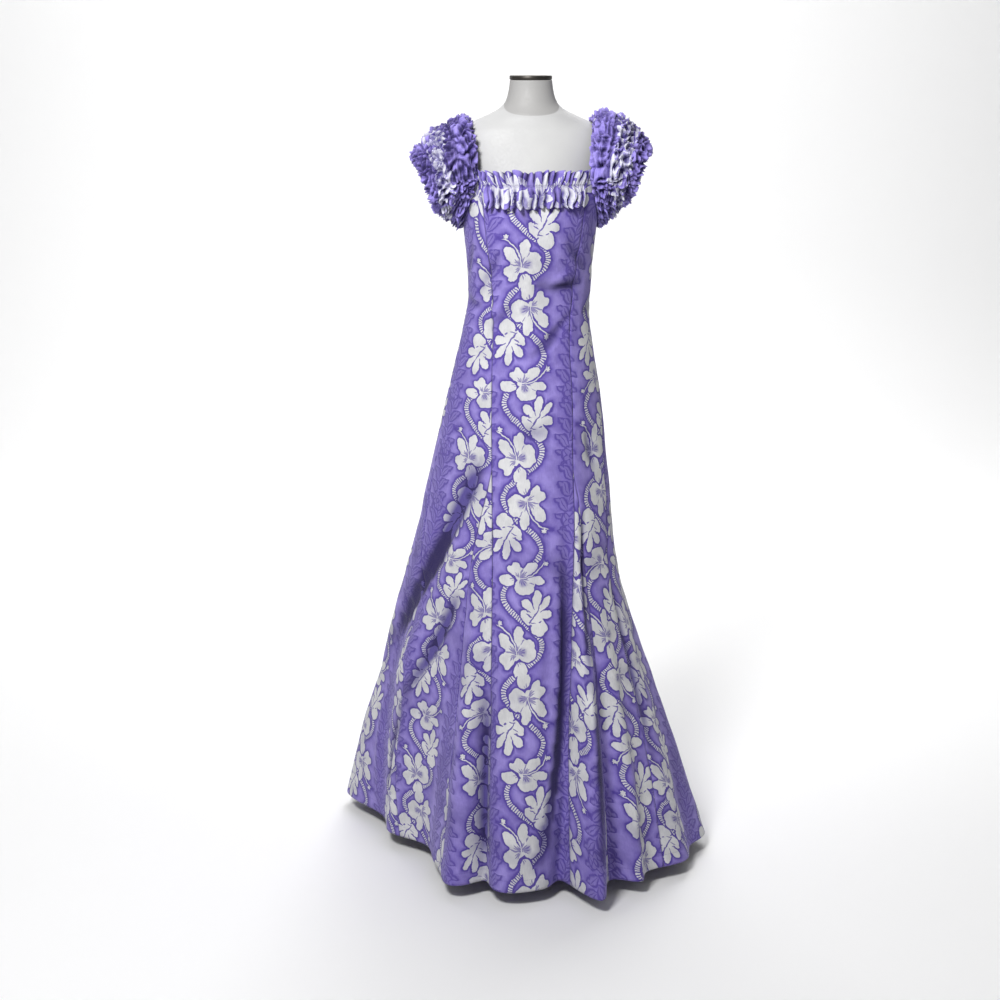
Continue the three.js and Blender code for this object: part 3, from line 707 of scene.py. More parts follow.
def make_sleeve(side, seed):
    """A sleeve: rows of puffs with ridges and facets on them, drawn in at the elastic."""
    mirror = 1 if side == "left" else -1
    turn = np.arange(SLEEVE_COLUMNS) * 360 / SLEEVE_COLUMNS
    share = np.linspace(0, 1, SLEEVE_ROWS + 1)
    base = sleeve_base(side, turn, share)
    out = normals(base, wrap=True)
    u, k = np.meshgrid(turn / 360, share)

    def waves(wave, number):
        return crumple(u, k, wave, seed * 10 + number)

    band = np.minimum((k * BANDS).astype(int), BANDS - 1)
    row_swell = np.abs(np.sin(np.pi * BANDS * k)) ** 0.5
    swell = row_swell + 0.4 * (1 - row_swell) * np.sin(np.pi * k) ** 0.5
    warp, bend = 1.0 * waves(44, 1), 0.85 * waves(40, 2)
    lump_u = (u * PUFFS_AROUND + warp + band * 0.37) % PUFFS_AROUND
    lumps = pillows(lump_u, np.maximum(k * PUFFS_ACROSS + bend + 2, 0), PUFFS_AROUND, seed)
    ridges = 1 - 2.2 * np.abs(waves(24, 3))
    facets = 1 - 2.2 * np.abs(waves(13, 4))
    relief = GATHER_DEPTH * (1.9 * lumps - 0.9) + 4.2 * ridges + 1.6 * facets
    rise = swell * (BAND_PUFF + relief)
    around = directions(np.roll(base, -1, 1) - np.roll(base, 1, 1))
    shift = 3.0 * swell * waves(20, 5)
    outer = base + out * rise[..., None] + around * shift[..., None]
    inner = outer - out * CLOTH
    inner[0] = armhole_edge(side, turn, LAP_OUT)
    outer[..., 0] *= mirror
    inner[..., 0] *= mirror
    closed = np.concatenate([np.arange(SLEEVE_COLUMNS), [0]])
    s, t = np.meshgrid(np.arange(SLEEVE_COLUMNS + 1) / SLEEVE_COLUMNS, share)
    across = SLEEVE_PRINT[0] / 2 * np.sin(2.7 * (t - 0.52)) / math.sin(1.35)
    across = (across + (6 * waves(30, 6) + 2.0 * relief)[:, closed]) * mirror
    down = s * SLEEVE_PRINT[1] + 60 * seed + (14 * waves(34, 7) + 9 * warp)[:, closed]
    # Painted shade in the low parts of the relief and along the elastic rows, and painted highlight on the
    # high parts of the puffs
    height = (relief - relief.min(0)) / 17
    painted_shade = unit(1.3 - 1.4 * height) ** 1.2 + 0.3 * (row_swell < 0.45)
    painted_highlight = unit(1.7 * height - 0.75) * (row_swell > 0.3)
    maps = {
        "Print": np.stack([across, down], -1) * MM,
        "Edges": np.stack([FAR_FROM_SEAM + 0 * s, FAR_FROM_SEAM + 0 * s], -1) * MM,
        "PaintedShadeAndHighlight": np.stack([unit(painted_shade)[:, closed], painted_highlight[:, closed]], -1),
    }
    if mirror < 0:
        outer, inner = outer[:, ::-1], inner[:, ::-1]
        maps = {label: grid[:, ::-1] for label, grid in maps.items()}
    return shell("cloth_sleeve_" + side, outer, inner, maps, wrap=True)


# The form and its stand.
FORM = table("z side front back", [
    (1517, 39.5, 33, 46),
    (1500, 41.5, 35, 48),
    (1484, 45.5, 39, 52),
    (1472, 52, 43, 57),
    (1462, 64, 48, 62),
    (1453, 82, 53, 64),
    (1440, 111, 58, 65),
    (1427, 135, 64, 67),
    (1408, 145, 70, 70),
    (1365, 143, 83, 72),
    (1300, 126, 107, 82),
    (1250, 116, 115, 88),
    (1190, 110, 100, 83),
    (1120, 104, 88, 73),
    (1058, 105, 87, 77),
    (980, 116, 94, 92),
    (900, 126, 102, 106),
    (840, 127, 104, 112),
    (800, 124, 101, 110),
])
FORM_SIDES = 108
POLE_SIDES = 64
TURNED_SIDES = 96
NECK_JOINT_Z = 1475
NECK_JOINT_LEAN = 0.42
NECK_JOINT_DEPTH = 0.012  # as a share of the neck's radius
# Outlines of the turned pieces: radius and height, the lowest first
BASE = [(0, 0), (158.5, 0), (160, 1.5), (160, 5), (158.6, 7.4), (152, 12), (30, 14), (27, 15.5), (24.6, 20),
        (24, 32.5), (22.5, 34), (0, 34)]
POLE = [(0, 34.4), (15, 34.4), (15, 799.6), (0, 799.6)]
CAP = [(0, 1517.4), (38, 1517.4), (39.4, 1518), (40, 1519.4), (40, 1523.4), (39.4, 1524.8), (38, 1525.4),
       (34, 1525.4), (33.4, 1524.9), (0, 1524.9)]
CAP_BACK = 6.5  # how far the cap's middle lies behind the pole's
LEAST_RADIUS = 0.05


def rings_piece(name, rings):
    """A closed piece from rings of points, the lowest first, in millimetres."""
    rows, count = rings.shape[:2]
    r, c = np.meshgrid(np.arange(rows - 1), np.arange(count), indexing="ij")
    a, b = r * count + c, r * count + (c + 1) % count
    quads = np.stack([a, b, b + count, a + count], -1).reshape(-1, 4).tolist()
    caps = [list(range(count))[::-1], [(rows - 1) * count + i for i in range(count)]]
    return made_piece(name, (rings.reshape(-1, 3) * MM).tolist(), quads + caps, len(caps))


def make_form():
    """The torso and neck in one, with a fine groove at the neck joint."""
    levels = np.concatenate([np.linspace(800, 1400, 90), np.linspace(1403, 1517, 76)])
    turn = np.arange(FORM_SIDES) * math.tau / FORM_SIDES
    rings = []
    for z in levels:
        side, front, back = (float(along(FORM, part, z)) for part in ("side", "front", "back"))
        y = -np.where(np.cos(turn) > 0, front, back) * np.cos(turn)
        joint = 1 - NECK_JOINT_DEPTH * bell((z - NECK_JOINT_Z - NECK_JOINT_LEAN * y) / 1.3)
        rings.append(np.stack([side * np.sin(turn) * joint, y * joint, np.full(FORM_SIDES, z)], -1))
    return rings_piece("form_body", np.array(rings))


def turned(name, profile, sides=TURNED_SIDES, back=0.0):
    """A round piece from its outline."""
    turn = np.arange(sides) * math.tau / sides
    rings = []
    for r, z in profile:
        r = max(r, LEAST_RADIUS)
        rings.append(np.stack([r * np.cos(turn), r * np.sin(turn) + back, np.full(sides, float(z))], -1))
    return rings_piece(name, np.array(rings))


# Materials. A Field is one output of a node tree, so that sums can be written as plain sums.
TREE = None


class Field:
    def __init__(self, socket):
        self.socket = socket

    def __add__(self, other):
        return math_node("ADD", self, other)

    def __sub__(self, other):
        return math_node("SUBTRACT", self, other)

    def __rsub__(self, other):
        return math_node("SUBTRACT", other, self)

    def __mul__(self, other):
        return math_node("MULTIPLY", self, other)

    def __rmul__(self, other):
        return math_node("MULTIPLY", other, self)

    def __truediv__(self, other):
        return math_node("DIVIDE", self, other)


def put(made, key, value):
    if isinstance(value, Field):
        TREE.links.new(value.socket, made.inputs[key])
    else:
        made.inputs[key].default_value = value


def node(kind, inputs=None, output=0, **settings):
    made = TREE.nodes.new(kind)
    for key, value in settings.items():
        setattr(made, key, value)
    for key, value in (inputs or {}).items():
        put(made, key, value)
    return Field(made.outputs[output])


def math_node(operation, *values):
    return node("ShaderNodeMath", dict(enumerate(values)), operation=operation)


def vector_node(operation, *values):
    return node("ShaderNodeVectorMath", dict(enumerate(values)), operation=operation)


def scaled(vector, factor):
    return node("ShaderNodeVectorMath", {0: vector, "Scale": factor}, operation="SCALE")


def norm(vector):
    """A place's distance from the middle."""
    return node("ShaderNodeVectorMath", {0: vector}, 1, operation="LENGTH")


def least(*fields):
    return reduce(lambda a, b: math_node("MINIMUM", a, b), fields)


def most(*fields):
    return reduce(lambda a, b: math_node("MAXIMUM", a, b), fields)


def size(field):
    return math_node("ABSOLUTE", field)


def ramp(value, start, end, low=0.0, high=1.0):
    """Goes smoothly from low to high while the value goes from start to end."""
    ends = {0: value, 1: start, 2: end, 3: low, 4: high}
    return node("ShaderNodeMapRange", ends, interpolation_type="SMOOTHSTEP")


def parts(vector, wanted=(0, 1)):
    """Two coordinates of a place, x and y unless others are wanted."""
    split = TREE.nodes.new("ShaderNodeSeparateXYZ")
    TREE.links.new(vector.socket, split.inputs[0])
    return [Field(split.outputs[number]) for number in wanted]


def pair(x, y):
    return node("ShaderNodeCombineXYZ", {0: x, 1: y})


def mix_colour(factor, a, b):
    return node("ShaderNodeMix", {0: factor, 6: a, 7: b}, 2, data_type="RGBA")


def mix_vector(factor, a, b):
    return node("ShaderNodeMix", {0: factor, 4: a, 5: b}, 1, data_type="VECTOR")


def noise(place, scale, detail, rough=0.5, output=0, dimensions="2D"):
    inputs = {"Vector": place, "Scale": scale, "Detail": detail, "Roughness": rough}
    return node("ShaderNodeTexNoise", inputs, output, noise_dimensions=dimensions)


def placed(place, x, y, across, along_it, tilt):
    """The place as seen from the middle of an oval whose edge is 1 away."""
    inputs = {0: place, 1: (x, y, 0), 2: (0, 0, math.radians(tilt)), 3: (across, along_it, 1)}
    return node("ShaderNodeMapping", inputs, vector_type="TEXTURE")


def blob(place, x, y, across, along_it, tilt=0.0):
    """About the distance in mm to an oval, and below 0 inside it. The tilt turns its top to the right."""
    return (norm(placed(place, x, y, across, along_it, tilt)) - 1.0) * (0.45 * (across + along_it))


def leaflet(place, x, y, across, along_it, tilt):
    """The same for a pointed leaf shape."""
    u, v = parts(placed(place, x, y, across, along_it, tilt))
    return (size(u) + v * v - 1.0) * (0.75 * across)


# The print, in millimetres: stripes of white flowers and leaves with a ribbed rope through them,
# and between them a chain of small leaves in the ground's own colour.
REPEAT = 365.0
PITCH = 178.0
# Across, down, turn to the right in degrees, size
FLOWERS = [(-18, 8, 0, 0.96), (4, 86, 180, 0.96), (-8, 229, 90, 0.83)]
LEAVES = [(-34, 150, 180, 0.95), (20, 298, 0, 0.95)]
BUD = (-12, 40)
# Outlines as degrees to the right of straight up, and the distance from the middle there
FLOWER_EDGE = [
    (-180, 12), (-164, 13), (-160, 25), (-154, 35), (-143, 38), (-131, 33.5), (-124, 35), (-115, 38),
    (-99, 33), (-84, 23), (-74, 22.5), (-66, 33), (-52, 45), (-43, 50), (-34, 46), (-28, 40), (-24, 27),
    (-20, 12), (-12, 9), (-9, 20), (-6, 45), (0, 49), (7, 55), (14, 52), (19, 46), (25, 35), (31, 35),
    (40, 40), (60, 42), (72, 38.5), (83, 39), (104, 34), (121, 28), (132, 17), (141, 9), (152, 10),
    (180, 12),
]
LEAF_EDGE = [
    (-180, 39), (-170, 36), (-160, 31), (-148, 26), (-130, 26), (-112, 28), (-95, 30), (-82, 30), (-72, 27),
    (-64, 19), (-59, 29), (-50, 36), (-41, 39), (-31, 37), (-23, 29), (-17, 16), (-12, 30), (-4, 42),
    (5, 49), (12, 46), (18, 33), (22.5, 16), (27, 32), (33, 43), (39, 46), (46, 39), (54, 28), (60, 16),
    (67, 24), (79, 30), (94, 31), (106, 27), (115, 18), (121, 14), (129, 24), (139, 34), (152, 40),
    (166, 43), (174, 42), (180, 39),
]
# Lines from the middle outwards: degrees, where they start and end, half thickness
STREAKS = [
    (7, 3, 17, 1.5), (-2, 8, 22, 0.8), (17, 7, 20, 1.0), (40, 4, 17, 1.5), (58, 4, 21, 1.7),
    (78, 4, 18, 1.9), (98, 4, 15, 1.3), (27, 22, 34, 1.1), (170, 15, 26, 1.1), (158, 15, 22, 0.8),
    (-170, 15, 21, 0.8), (-150, 3, 15, 1.2), (-136, 4, 18, 1.2), (-118, 3, 14, 1.1), (-78, 2, 23, 1.7),
    (-56, 3, 17, 1.1), (-44, 4, 20, 1.2), (-32, 4, 15, 1.0),
]
LEAF_SLITS = [(-17, 10, 19, 1.0), (22, 10, 19, 1.0), (60, 10, 18, 1.0), (-64, 12, 21, 1.0)]
# Ovals: x, y, half width, half length, tilt
LOW_PETAL = (8.4, 32.8, 12.8, 18.6, 4)
STREAK_PATCH = (15, -6, 5.5, 8.5, -12)
LEAF_MARKS = [
    (-3, 2, 1.6, 19, 33), (-14, 1, 1.1, 7, -58), (-7, 16, 1.1, 7, -80), (-17, -8, 1.7, 4.0, -24),
    (8, 13, 1.6, 3.8, 66), (-12, 22, 2.0, 3.6, 50),
]
REACH = 60.0  # no outline goes further out
FAR = 1e4
SPREAD = 3.2  # how much wider an outline gets for the dark rim round it
ARC = 56.0  # radius of the bow that the pistil follows
PISTIL_HALF, PISTIL_RIM = 1.25, 2.9
TIP_X, TIP_Y, TIP_SIZE = -33.5, -57.5, 4.6


def edge_radius(turn, edge):
    """The outline's distance from the middle, where a turn of 0 to 1 is -180 to 180 degrees."""
    made = TREE.nodes.new("ShaderNodeFloatCurve")
    curve = made.mapping.curves[0]
    made.mapping.use_clip = False
    curve.points[0].location = (0, edge[0][1] / REACH)
    curve.points[1].location = (1, edge[-1][1] / REACH)
    for degrees, radius in edge[1:-1]:
        curve.points.new((degrees + 180) / 360, radius / REACH)
    for point in curve.points:
        point.handle_type = "AUTO_CLAMPED"
    made.mapping.update()
    put(made, "Value", turn)
    return Field(made.outputs[0]) * REACH


def star(local, edge):
    """How far a place lies outside the outline, and the same for an outline grown sideways too."""
    x, y = parts(local)
    radius = norm(local)
    turn = math_node("ARCTAN2", x, y * -1.0) * (1 / math.tau) + 0.5
    step = math_node("DIVIDE", SPREAD / math.tau, most(radius, 4.0))
    exact = radius - edge_radius(turn, edge)
    left = radius - edge_radius(math_node("FRACT", turn + step), edge)
    right = radius - edge_radius(math_node("FRACT", turn - step + 1.0), edge)
    return exact, least(exact, left + SPREAD / 2, right + SPREAD / 2)


def ray(place, degrees, start, end, thick):
    """A thin line that points away from the middle."""
    middle, half = (start + end) / 2, (end - start) / 2
    angle = math.radians(degrees)
    return blob(place, middle * math.sin(angle), -middle * math.cos(angle), thick, half, degrees)


def seen_from(place, x, y):
    """The place as seen from a spot of the print, the nearest one of all repeats."""
    moved = vector_node("SUBTRACT", place, (x, y, 0))
    return vector_node("WRAP", moved, (FAR, REPEAT / 2, 1), (-FAR, -REPEAT / 2, -1))


def nearest_motif(place, motifs):
    """The place seen from the nearest motif, the right way up for it."""
    best, best_gap = None, None
    for x, y, turn, scale in motifs:
        moved = seen_from(place, x, y)
        gap = norm(moved)
        grown = vector_node("DIVIDE", moved, (scale, scale, 1))
        inputs = {"Vector": grown, "Angle": math.radians(-turn)}
        spun = node("ShaderNodeVectorRotate", inputs, rotation_type="Z_AXIS")
        if best is None:
            best, best_gap = spun, gap
        else:
            closer = math_node("LESS_THAN", gap, best_gap)
            best = mix_vector(closer, best, spun)
            best_gap = least(best_gap, gap)
    return best


def flower_fields(local):
    """Petals, petals with a margin, streaks, a shaded patch, the pistil and the rim round it."""
    white, near = star(local, FLOWER_EDGE)
    low_petal = blob(local, *LOW_PETAL)
    streaks = least(*[ray(local, *streak) * (0.9 / streak[3] ** 0.5) for streak in STREAKS])
    x, y = parts(local)
    arc = size(norm(vector_node("ADD", local, (ARC, 0, 0))) - ARC)
    within = most(y - 1.0, -53.0 - y, -50.0 - x)
    tip_turn = math_node("ARCTAN2", x - TIP_X, y - TIP_Y)
    tip = blob(local, TIP_X, TIP_Y, TIP_SIZE, TIP_SIZE) - 0.9 * math_node("COSINE", tip_turn * 6.0)
    pistil = least(most(arc - PISTIL_HALF, within), tip)
    outline = most(arc - PISTIL_RIM, within)
    patch = blob(local, *STREAK_PATCH)
    return least(white, low_petal), least(near, low_petal), streaks, patch, pistil, outline


def leaf_fields(local):
    """A cut leaf, the leaf with a margin, and the marks on it."""
    white, near = star(local, LEAF_EDGE)
    slits = [ray(local, *slit) for slit in LEAF_SLITS]
    return white, near, least(*slits, *[blob(local, *mark) for mark in LEAF_MARKS])


ROPE_MIDDLE = -6.0
ROPE_SWING = 37.0
ROPE_HALF = 4.6
ROPE_RIB = 4.6
ROPE_WAVE = 4 * math.pi / REPEAT  # two bends to a repeat
CHAIN_STEP = 30.0
CHAIN_SWAY = 4.5
CHAIN_WAVE = math.tau / 122
BLOOM_EVERY = 122.0
BLOOM_ROOM = 19.0  # nothing of the chain comes nearer to the middle of a bloom
THREAD = 0.55
HEM_STITCH = 22.0
STITCH = 1.6  # half the way from one stitch to the next
GROUND_LOW = (0.210, 0.160, 0.495, 1)
GROUND_HIGH = (0.302, 0.242, 0.635, 1)
GROUND_PALE = (0.385, 0.322, 0.740, 1)
CHAIN_FILL = (0.300, 0.250, 0.540, 1)
LINE_SOFT = (0.120, 0.080, 0.400, 1)
LINE_DARK = (0.075, 0.045, 0.300, 1)
SLUB_DARK = (0.02, 0.01, 0.10, 1)
# Painted shade: the print's ground and ink colours in creases and hollows, where shade falls
PAINTED_SHADE_LILAC = (0.022, 0.014, 0.090, 1)
PAINTED_SHADE_WHITE = (0.085, 0.062, 0.28, 1)
WHITE_LOW = (0.575, 0.575, 0.595, 1)
WHITE_HIGH = (0.70, 0.70, 0.71, 1)
# Painted highlight: the print's ground and ink colours on the crests of gathers, where light falls
PAINTED_HIGHLIGHT_LILAC = (0.40, 0.33, 0.86, 1)
PAINTED_HIGHLIGHT_WHITE = (0.84, 0.83, 1.0, 1)
FORM_LOW = (0.50, 0.50, 0.50, 1)
FORM_HIGH = (0.552, 0.552, 0.547, 1)
# The neck is darker than the torso: in part its own greyer tone, in part painted shade
NECK_TONE_AND_SHADE = (0.36, 0.355, 0.35, 1)


def rope_fields(s, t):
    """The distance to the winding rope, and the distance to its nearest rib."""
    turn = (t + 8.0) * ROPE_WAVE
    lean = math_node("SINE", turn) * (-ROPE_SWING * ROPE_WAVE)
    aside = s - (ROPE_SWING * math_node("COSINE", turn) + ROPE_MIDDLE)
    slope = math_node("SQRT", lean * lean + 1.0)
    # The ribs keep their distance along the rope, which is longer where it leans.
    run = 1.33 * t - (0.155 / ROPE_WAVE) * math_node("SINE", turn * 2.0) + aside * lean / slope
    rib = size(math_node("WRAP", run, ROPE_RIB / 2, -ROPE_RIB / 2)) - ROPE_RIB * 0.28
    return size(aside) / slope - ROPE_HALF, rib


def chain_fields(s, t):
    """Outlines and fills of the quiet leaves midway between two stripes of flowers."""
    x = math_node("WRAP", s + PITCH / 2, PITCH / 2, -PITCH / 2)
    x = x - CHAIN_SWAY * math_node("SINE", t * CHAIN_WAVE)
    shifted = t + math_node("SIGN", x) * (CHAIN_STEP / 4)
    step = math_node("WRAP", shifted, CHAIN_STEP / 2, -CHAIN_STEP / 2)
    place = pair(size(x) + 0.012 * step * step, step)
    leaves = leaflet(place, 11, 0, 8.2, 19, 33)
    small = leaflet(place, 23, -9, 4.6, 10, 62)
    vein = blob(place, 11, 0, 0.9, 12, 33)
    section = math_node("WRAP", t, BLOOM_EVERY / 2, -BLOOM_EVERY / 2)
    reach = norm(pair(x, section))
    angle = math_node("ARCTAN2", x, section)
    bloom = reach - (4.5 * math_node("COSINE", angle * 5.0) + 13.5)
    eye = size(reach - 4.5) - 1.2
    curl = size(norm(pair(size(x) - 15.0, section - 17.0)) - 7.0) - 1.6
    chain = most(least(leaves, small), BLOOM_ROOM - reach)
    return least(chain, bloom, most(curl, 12.0 - size(x))), least(most(vein, BLOOM_ROOM - reach), eye)


def print_look():
    """The print's colour, how much white ink there is, and the place in millimetres."""
    place = scaled(node("ShaderNodeUVMap", uv_map="Print"), 1 / MM)
    # The drawing is a little uneven.
    wobble = vector_node("SUBTRACT", noise(place, 0.075, 3, 0.55, output=1), (0.5, 0.5, 0.5))
    s, t = parts(vector_node("ADD", place, scaled(wobble, 6.5)))
    stripe = math_node("WRAP", s, PITCH / 2, -PITCH / 2)
    here = pair(stripe, t)
    white, white_near, streaks, patch, pistil, outline = flower_fields(nearest_motif(here, FLOWERS))
    leaf, leaf_near, holes = leaf_fields(nearest_motif(here, LEAVES))
    bud = leaflet(seen_from(here, *BUD), 0, 0, 5.5, 12, 12)
    rope, rib = rope_fields(stripe, t)
    chain, marks = chain_fields(s, t)
    # Where two motifs meet, the one behind stops short of the other.
    leaf = most(leaf, 2.4 - white_near)
    motifs = least(white, leaf)
    grown = least(white_near, leaf_near, pistil)
    rope = most(rope, SPREAD - grown)
    nearby = least(grown, rope)
    chain = most(chain, 5.0 - nearby)

    mottle = noise(place, 0.022, 4, 0.62)
    cloud = noise(place, 0.007, 2)
    line = most(ramp(size(chain), 2.6, 0.7), ramp(marks, 1.3, -0.4) * ramp(chain, 0.5, -1.0))
    ground = mix_colour(ramp(mottle, 0.32, 0.7), GROUND_LOW, GROUND_HIGH)
    for share, colour in [
        (ramp(cloud, 0.3, 0.75) * 0.35, GROUND_PALE),
        (ramp(chain, 0.8, -0.8) * 0.5, CHAIN_FILL),
        (ramp(chain, 10.0, 0.0) * 0.45, LINE_SOFT),
        (line * 0.75, LINE_DARK),
        (ramp(nearby, 15.0, 1.0) * 0.75, LINE_SOFT),
        (ramp(nearby, 6.5, 1.2) * 0.85, LINE_DARK),
    ]:
        ground = mix_colour(share, ground, colour)

    ink = most(ramp(motifs, 0.45, -0.45), ramp(least(rope, 9.0), 0.4, -0.4) * ramp(rib, 0.45, -0.45))
    ink = most(ink, ramp(bud, 0.4, -0.4) * ramp(motifs, 1.5, 3.0))
    for mark, start, end, strength in [
        (streaks, 0.7, -0.7, 0.72),
        (patch, 4.0, -5.0, 0.5),
        (holes, 0.4, -0.4, 0.92),
        (outline, 0.5, -0.4, 0.85),
    ]:
        ink = ink * (1.0 - ramp(mark, start, end) * strength)
    ink = most(ink, ramp(pistil, 0.45, -0.45))
    paint = mix_colour(ramp(mottle, 0.3, 0.72), WHITE_LOW, WHITE_HIGH)
    return mix_colour(ink, ground, paint), ink, place


def start_material(name):
    global TREE
    material = bpy.data.materials.new(name)
    material.use_nodes = True
    TREE = material.node_tree
    TREE.nodes.clear()
    return material


def finish_material(colour, rough, height=None, distance=0.0, strength=0.0, **sockets):
    """The shader, with bumps of that height if there are any."""
    shader = TREE.nodes.new("ShaderNodeBsdfPrincipled")
    put(shader, "Base Color", colour)
    put(shader, "Roughness", rough)
    for name, value in sockets.items():
        shader.inputs[name.replace("_", " ")].default_value = value
    if height is not None:
        bump = node("ShaderNodeBump", {"Height": height, "Distance": distance, "Strength": strength})
        TREE.links.new(bump.socket, shader.inputs["Normal"])
    output = TREE.nodes.new("ShaderNodeOutputMaterial")
    TREE.links.new(shader.outputs[0], output.inputs["Surface"])


def cotton_material():
    material = start_material("print_cotton")
    colour, ink, place = print_look()
    s, t = parts(place)
    weave = math_node("SINE", s * (math.tau / THREAD)) * math_node("SINE", t * (math.tau / THREAD))
    slub = noise(vector_node("MULTIPLY", place, (1.0, 0.16, 1)), 0.55, 3, 0.6)
    from_seam, from_hem = parts(scaled(node("ShaderNodeUVMap", uv_map="Edges"), 1 / MM))
    hem_line = size(from_hem - HEM_STITCH)
    dash = ramp(size(math_node("WRAP", s, STITCH, -STITCH)), 0.5, 0.9)
    stitch = ramp(hem_line, 1.1, 0.2) * dash
    seam_line = ramp(from_seam, 1.5, 0.1)
    painted_shade, painted_highlight = parts(node("ShaderNodeUVMap", uv_map="PaintedShadeAndHighlight"))
    colour = mix_colour(most(stitch * 0.35, seam_line * 0.3), colour, LINE_DARK)
    # Painted highlight on the crests of gathers, then painted shade in creases and hollows
    colour = mix_colour(painted_highlight * 0.8, colour, mix_colour(ink, PAINTED_HIGHLIGHT_LILAC, PAINTED_HIGHLIGHT_WHITE))
    colour = mix_colour(painted_shade * 0.98, colour, mix_colour(ink, PAINTED_SHADE_LILAC, PAINTED_SHADE_WHITE))
    colour = mix_colour(ramp(slub, 0.35, 0.7) * 0.07, colour, SLUB_DARK)
    drawn_out = vector_node("MULTIPLY", place, (1.0, 0.45, 1))
    rumple = noise(place, 0.03, 3, 0.55) * 4.0 + noise(drawn_out, 0.07, 2) * 1.4
    height = rumple + slub * 0.3 + weave * 0.12 - ramp(hem_line, 2.4, 0.2) * 0.7 - seam_line * 0.6
    sheen = {"Sheen_Weight": 0.12, "Sheen_Roughness": 0.45, "Specular_IOR_Level": 0.35}
    finish_material(colour, ramp(slub, 0.2, 0.8, 0.72, 0.86), height, 0.0005, 0.75, **sheen)
    return material


def form_material():
    material = start_material("form_skin")
    place = node("ShaderNodeTexCoord", output=3)
    grain = noise(place, 220.0, 3, dimensions="3D")
    cloud = noise(place, 9.0, 2, dimensions="3D")
    colour = mix_colour(ramp(cloud, 0.3, 0.7), FORM_LOW, FORM_HIGH)
    y, z = parts(place, (1, 2))
    above_joint = z - NECK_JOINT_LEAN * y - NECK_JOINT_Z * MM
    # Above the neck joint the form is darker: in part its own greyer tone, in part painted shade
    colour = mix_colour(ramp(above_joint, -0.0007, 0.0007), colour, NECK_TONE_AND_SHADE)
    finish_material(colour, ramp(grain, 0.3, 0.7, 0.52, 0.66), grain, 0.0002, 0.5)
    return material


def metal_material(name, low, high, metallic):
    material = start_material(name)
    place = node("ShaderNodeTexCoord", output=3)
    grain = noise(place, 160.0, 4, dimensions="3D")
    wear = noise(place, 14.0, 3, dimensions="3D")
    colour = mix_colour(ramp(wear, 0.35, 0.7), low, high)
    finish_material(colour, ramp(wear, 0.3, 0.7, 0.3, 0.46), grain, 0.0001, 0.4, Metallic=metallic)
    return material


def dress(piece, material, replaced):
    """Gives a piece its material and puts it in the place of a CAD node."""
    piece.data.materials.append(material)
    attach(piece, "root")
    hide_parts(replaced)


cotton = cotton_material()
for name, from_seam, to_seam, stripe, upside_down in PANELS:
    panel, flat = make_panel(name, from_seam, to_seam, stripe, upside_down)
    dress(panel, cotton, name)
    declare_cut(flat)

# The angles where each frill starts and ends, its number of gathers, the height of its neckline, its seed
front_end = CORNER_ANGLE - FRILL_SHORT
back_end = BACK_CORNER_ANGLE + FRILL_SHORT
FRILLS = [
    ("neck_frill_front", -front_end, front_end, 15, NECKLINE_Z, 3),
    ("neck_frill_back", back_end, 360 - back_end, 13, BACK_NECKLINE_Z, 11),
]
for name, *layout in FRILLS:
    strip, length = make_frill(name, *layout)
    dress(strip, cotton, name)

for side, seed in [("left", 4), ("right", 9)]:
    sleeve = make_sleeve(side, seed)
    dress(sleeve, cotton, "sleeve_" + side)

dress(make_form(), form_material(), "form_torso")
steel = metal_material("stand_paint", (0.20, 0.20, 0.21, 1), (0.30, 0.30, 0.31, 1), 0.6)
dress(turned("stand_foot", BASE), steel, "stand_base")
dress(turned("stand_post", POLE, POLE_SIDES), steel, "stand_pole")
cap_look = metal_material("cap_paint", (0.05, 0.045, 0.04, 1), (0.10, 0.09, 0.08, 1), 0.7)
dress(turned("cap_plate", CAP, back=CAP_BACK), cap_look, "neck_cap")

# The floor is flat, then bends up into a wall behind the gown, in metres.
FLOOR_NEAR, BEND_START, BEND_RADIUS, WALL_TOP, HALF_WIDTH = -7, 3.6, 1.8, 7, 9
sweep = [(FLOOR_NEAR, 0)]
for t in np.linspace(0, math.pi / 2, 25):
    sweep.append((BEND_START + BEND_RADIUS * math.sin(t), BEND_RADIUS - BEND_RADIUS * math.cos(t)))
sweep.append((BEND_START + BEND_RADIUS, WALL_TOP))
points = [(x, y, z) for y, z in sweep for x in (-HALF_WIDTH, HALF_WIDTH)]
faces = [(2 * i, 2 * i + 1, 2 * i + 3, 2 * i + 2) for i in range(len(sweep) - 1)]
floor = made_piece("floor", points, faces)
floor.data.materials.append(start_material("pale_floor"))
finish_material((0.95, 0.95, 0.95, 1), 0.9)


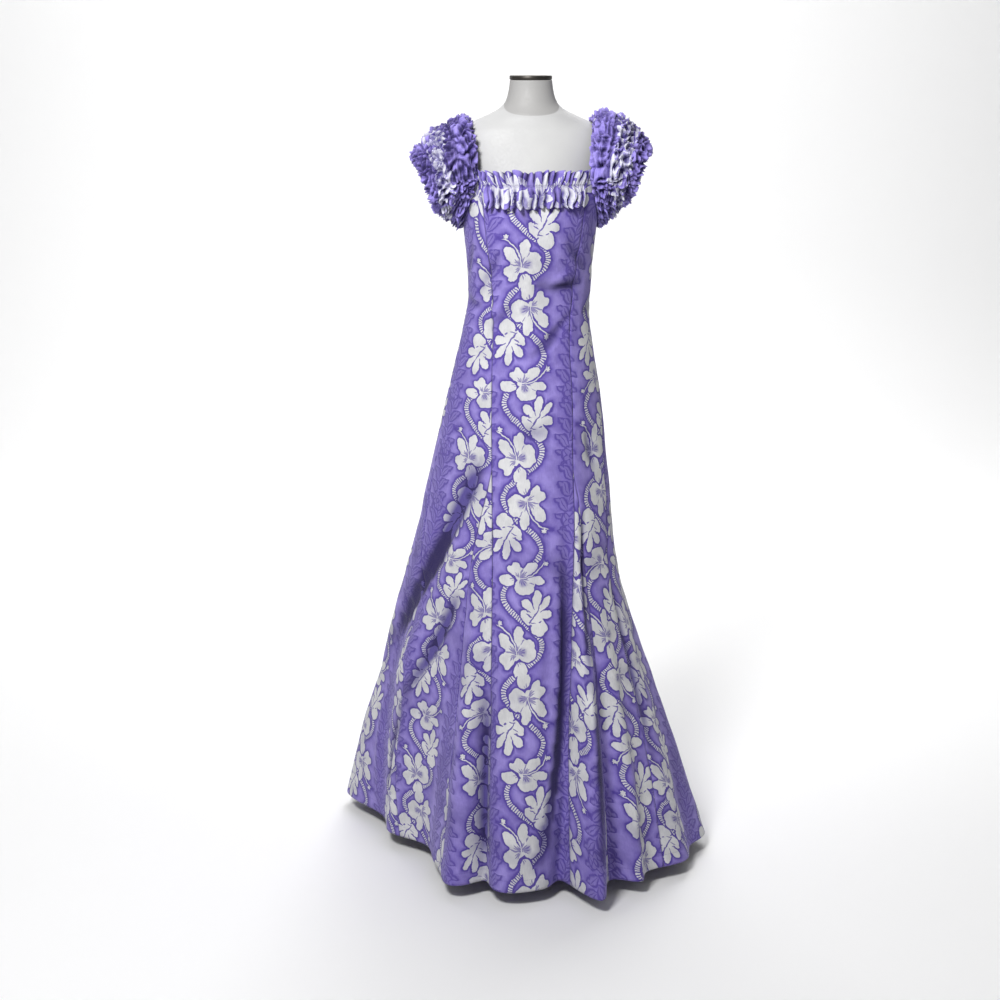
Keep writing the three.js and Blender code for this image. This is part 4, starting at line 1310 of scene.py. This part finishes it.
def add_light(name, kind, place, target, power, **settings):
    """A light that shines from a place at a target, in metres and watts."""
    light = bpy.data.lights.new(name, kind)
    light.energy = power
    for key, value in settings.items():
        setattr(light, key, value)
    lamp = bpy.data.objects.new(name, light)
    lamp.location = place
    lamp.rotation_euler = (Vector(target) - Vector(place)).to_track_quat("-Z", "Y").to_euler()
    bpy.context.scene.collection.objects.link(lamp)


add_light("key_light", "AREA", (-1.05, -2.3, 2.95), (0, 0, 1.25), 80, shape="DISK", size=0.8)
spot = {"spot_size": math.radians(36), "spot_blend": 1.0, "shadow_soft_size": 0.3}
add_light("top_light", "SPOT", (-0.9, -2.4, 3.0), (0, 0, 1.32), 128, **spot)
add_light("back_light", "AREA", (0.8, 2.8, 3.4), (0, 0, 0.9), 26, shape="DISK", size=1.5)
add_light("backdrop_light", "AREA", (0, 2.6, 4.2), (0, 4.6, 0.6), 140, shape="DISK", size=3)

# The room is brighter to look at than the light that it gives.
ROOM_LIGHT, ROOM_SEEN = 0.22, 0.7
world = bpy.data.worlds.new("pale_room")
world.use_nodes = True
TREE = world.node_tree
background = TREE.nodes["Background"]
background.inputs["Color"].default_value = (1, 1, 1, 1)
put(background, "Strength", ramp(node("ShaderNodeLightPath"), 0.0, 1.0, ROOM_LIGHT, ROOM_SEEN))
bpy.context.scene.world = world
bpy.context.scene.view_settings.view_transform = "Standard"

# The camera stands a little to the wearer's right, in metres and degrees.
CAMERA_AWAY, CAMERA_HEIGHT, CAMERA_TURN, CAMERA_DOWN = 4, 1.6, 4, 12.5
view_turn = math.radians(CAMERA_TURN)
camera_data = bpy.data.cameras.new("camera")
camera_data.lens = 75.6
camera_data.sensor_width = 36
camera_data.shift_x = -0.031
camera = bpy.data.objects.new("camera", camera_data)
camera.location = (-CAMERA_AWAY * math.sin(view_turn), -CAMERA_AWAY * math.cos(view_turn), CAMERA_HEIGHT)
camera.rotation_euler = (math.radians(90 - CAMERA_DOWN), 0, -view_turn)
bpy.context.scene.collection.objects.link(camera)
bpy.context.scene.camera = camera
